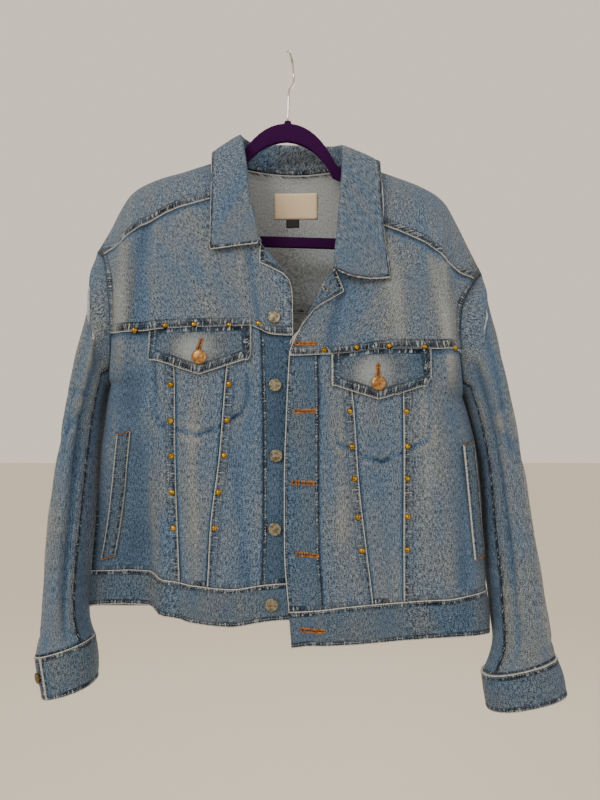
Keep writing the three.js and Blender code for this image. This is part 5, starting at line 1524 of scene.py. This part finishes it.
# The hanger: its solid with the long edges softened, and the hook's wire
plate = bmesh.new()
plate.from_mesh(bpy.data.objects["hanger"].data)
bmesh.ops.remove_doubles(plate, verts=plate.verts, dist=1e-6)
bmesh.ops.dissolve_limit(plate, angle_limit=math.radians(0.5), verts=plate.verts, edges=plate.edges)
sharp = [edge for edge in plate.edges if len(edge.link_faces) == 2 and edge.calc_face_angle() > math.radians(50)]
bmesh.ops.bevel(plate, geom=sharp, offset=1.5 * mm, segments=4, affect="EDGES", profile=0.5, material=-1, clamp_overlap=True)
for face in plate.faces:
    face.smooth = True
mesh = bpy.data.meshes.new("hanger_velvet")
plate.to_mesh(mesh)
plate.free()
mesh.materials.append(velvetLook)
mesh.set_sharp_from_angle(angle=math.radians(35))
hangerPiece = bpy.data.objects.new("hanger_velvet", mesh)
hangerPiece.matrix_world = bpy.data.objects["hanger"].matrix_world.copy()
bpy.context.scene.collection.objects.link(hangerPiece)
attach(hangerPiece, "root")
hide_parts("hanger")


def tube(name, points, radius, look, sides=16, closed=False):
    points = np.array(points, float)
    ahead = np.roll(points, -1, 0) if closed else np.concatenate([points[1:], 2 * points[-1:] - points[-2:-1]])
    behind = np.roll(points, 1, 0) if closed else np.concatenate([2 * points[:1] - points[1:2], points[:-1]])
    along = ahead - behind
    along /= np.linalg.norm(along, axis=1, keepdims=True)
    across = np.cross(along, np.array([0.05, 1, 0.02]))
    across /= np.linalg.norm(across, axis=1, keepdims=True)
    up = np.cross(along, across)
    turn = np.linspace(0, 2 * math.pi, sides, endpoint=False)
    wide = np.full(len(points), radius)
    if not closed:
        wide[[0, -1]] = radius * 0.3
    rings = points[:, None] + wide[:, None, None] * (np.cos(turn)[:, None] * across[:, None] + np.sin(turn)[:, None] * up[:, None])
    count = len(points)
    faces = [
        (n * sides + k, n * sides + (k + 1) % sides, (n + 1) % count * sides + (k + 1) % sides, (n + 1) % count * sides + k)
        for n in range(count if closed else count - 1) for k in range(sides)
    ]
    if not closed:
        faces += [tuple(range(sides - 1, -1, -1)), tuple(range((count - 1) * sides, count * sides))]
    mesh = bpy.data.meshes.new(name)
    mesh.from_pydata((rings.reshape(-1, 3) * mm).tolist(), [], faces)
    mesh.materials.append(look)
    mesh.shade_smooth()
    piece = bpy.data.objects.new(name, mesh)
    bpy.context.scene.collection.objects.link(piece)
    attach(piece, "root")
    return piece


wireOut = np.array([math.cos(math.radians(hook["turn"])), math.sin(math.radians(hook["turn"])), 0])
corners = [[-2.6, 0, -89.7], [-2, 0, -74], [-1.2, 0, -50]]
for degrees in range(-52, hook["tip"] - 89, 16):
    angle = math.radians(degrees)
    corners.append(wireOut * 19.8 * math.cos(angle) + np.array([0, 0, -18 + 19.8 * math.sin(angle)]))
corners = np.array([2 * np.array(corners[0]) - corners[1]] + corners + [2 * np.array(corners[-1]) - corners[-2]])
wire = []
for n in range(1, len(corners) - 2):
    for t in np.linspace(0, 1, 5)[:-1] if n < len(corners) - 3 else np.linspace(0, 1, 5):
        a, b, c, d = corners[n - 1:n + 3]
        wire.append(0.5 * (2 * b + (c - a) * t + (2 * a - 5 * b + 4 * c - d) * t ** 2 + (3 * b - a - 3 * c + d) * t ** 3))
hookPiece = tube("hook_wire", wire, hook["wire"], steelLook)
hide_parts("hanger_hook")
print("hanger dressed")


# Floor, light and camera
floor = bpy.data.meshes.new("floor")
floor.from_pydata([(-40, -40, -2), (40, -40, -2), (40, 40, -2), (-40, 40, -2)], [], [(0, 1, 2, 3)])
floor.materials.append(finish("pale plaster", {"Base Color": "#e9e2d6", "Roughness": 0.95})[0])
ground = bpy.data.objects.new("floor", floor)
bpy.context.scene.collection.objects.link(ground)

world = bpy.data.worlds.new("pale room")
world.use_nodes = True
world.node_tree.nodes["Background"].inputs["Color"].default_value = linear("#f4e6d2")
world.node_tree.nodes["Background"].inputs["Strength"].default_value = 1.05
bpy.context.scene.world = world

lamps = [
    {"name": "key", "at": (-1.8, -2.4, 1.3), "size": 1.3, "watts": 64, "tone": "#fff6ea"},
    {"name": "fill", "at": (2.4, -2.2, -0.2), "size": 2.4, "watts": 18, "tone": "#eef3ff"},
    {"name": "rim", "at": (0.6, 2.6, 1.4), "size": 2.0, "watts": 30, "tone": "#fff9f0"},
]
for lamp in lamps:
    light = bpy.data.lights.new(lamp["name"], "AREA")
    light.size = lamp["size"]
    light.energy = lamp["watts"]
    light.color = linear(lamp["tone"])[:3]
    held = bpy.data.objects.new(lamp["name"], light)
    held.location = lamp["at"]
    held.rotation_euler = (Vector((0, 0, -0.45)) - Vector(lamp["at"])).to_track_quat("-Z", "Y").to_euler()
    bpy.context.scene.collection.objects.link(held)

camera = bpy.data.cameras.new("camera")
camera.lens = 27
camera.sensor_width = 36
eye = bpy.data.objects.new("camera", camera)
eye.location = (0.013, -0.750, -0.502)
eye.rotation_euler = (math.radians(93.9), 0, 0)
bpy.context.scene.collection.objects.link(eye)
bpy.context.scene.camera = eye
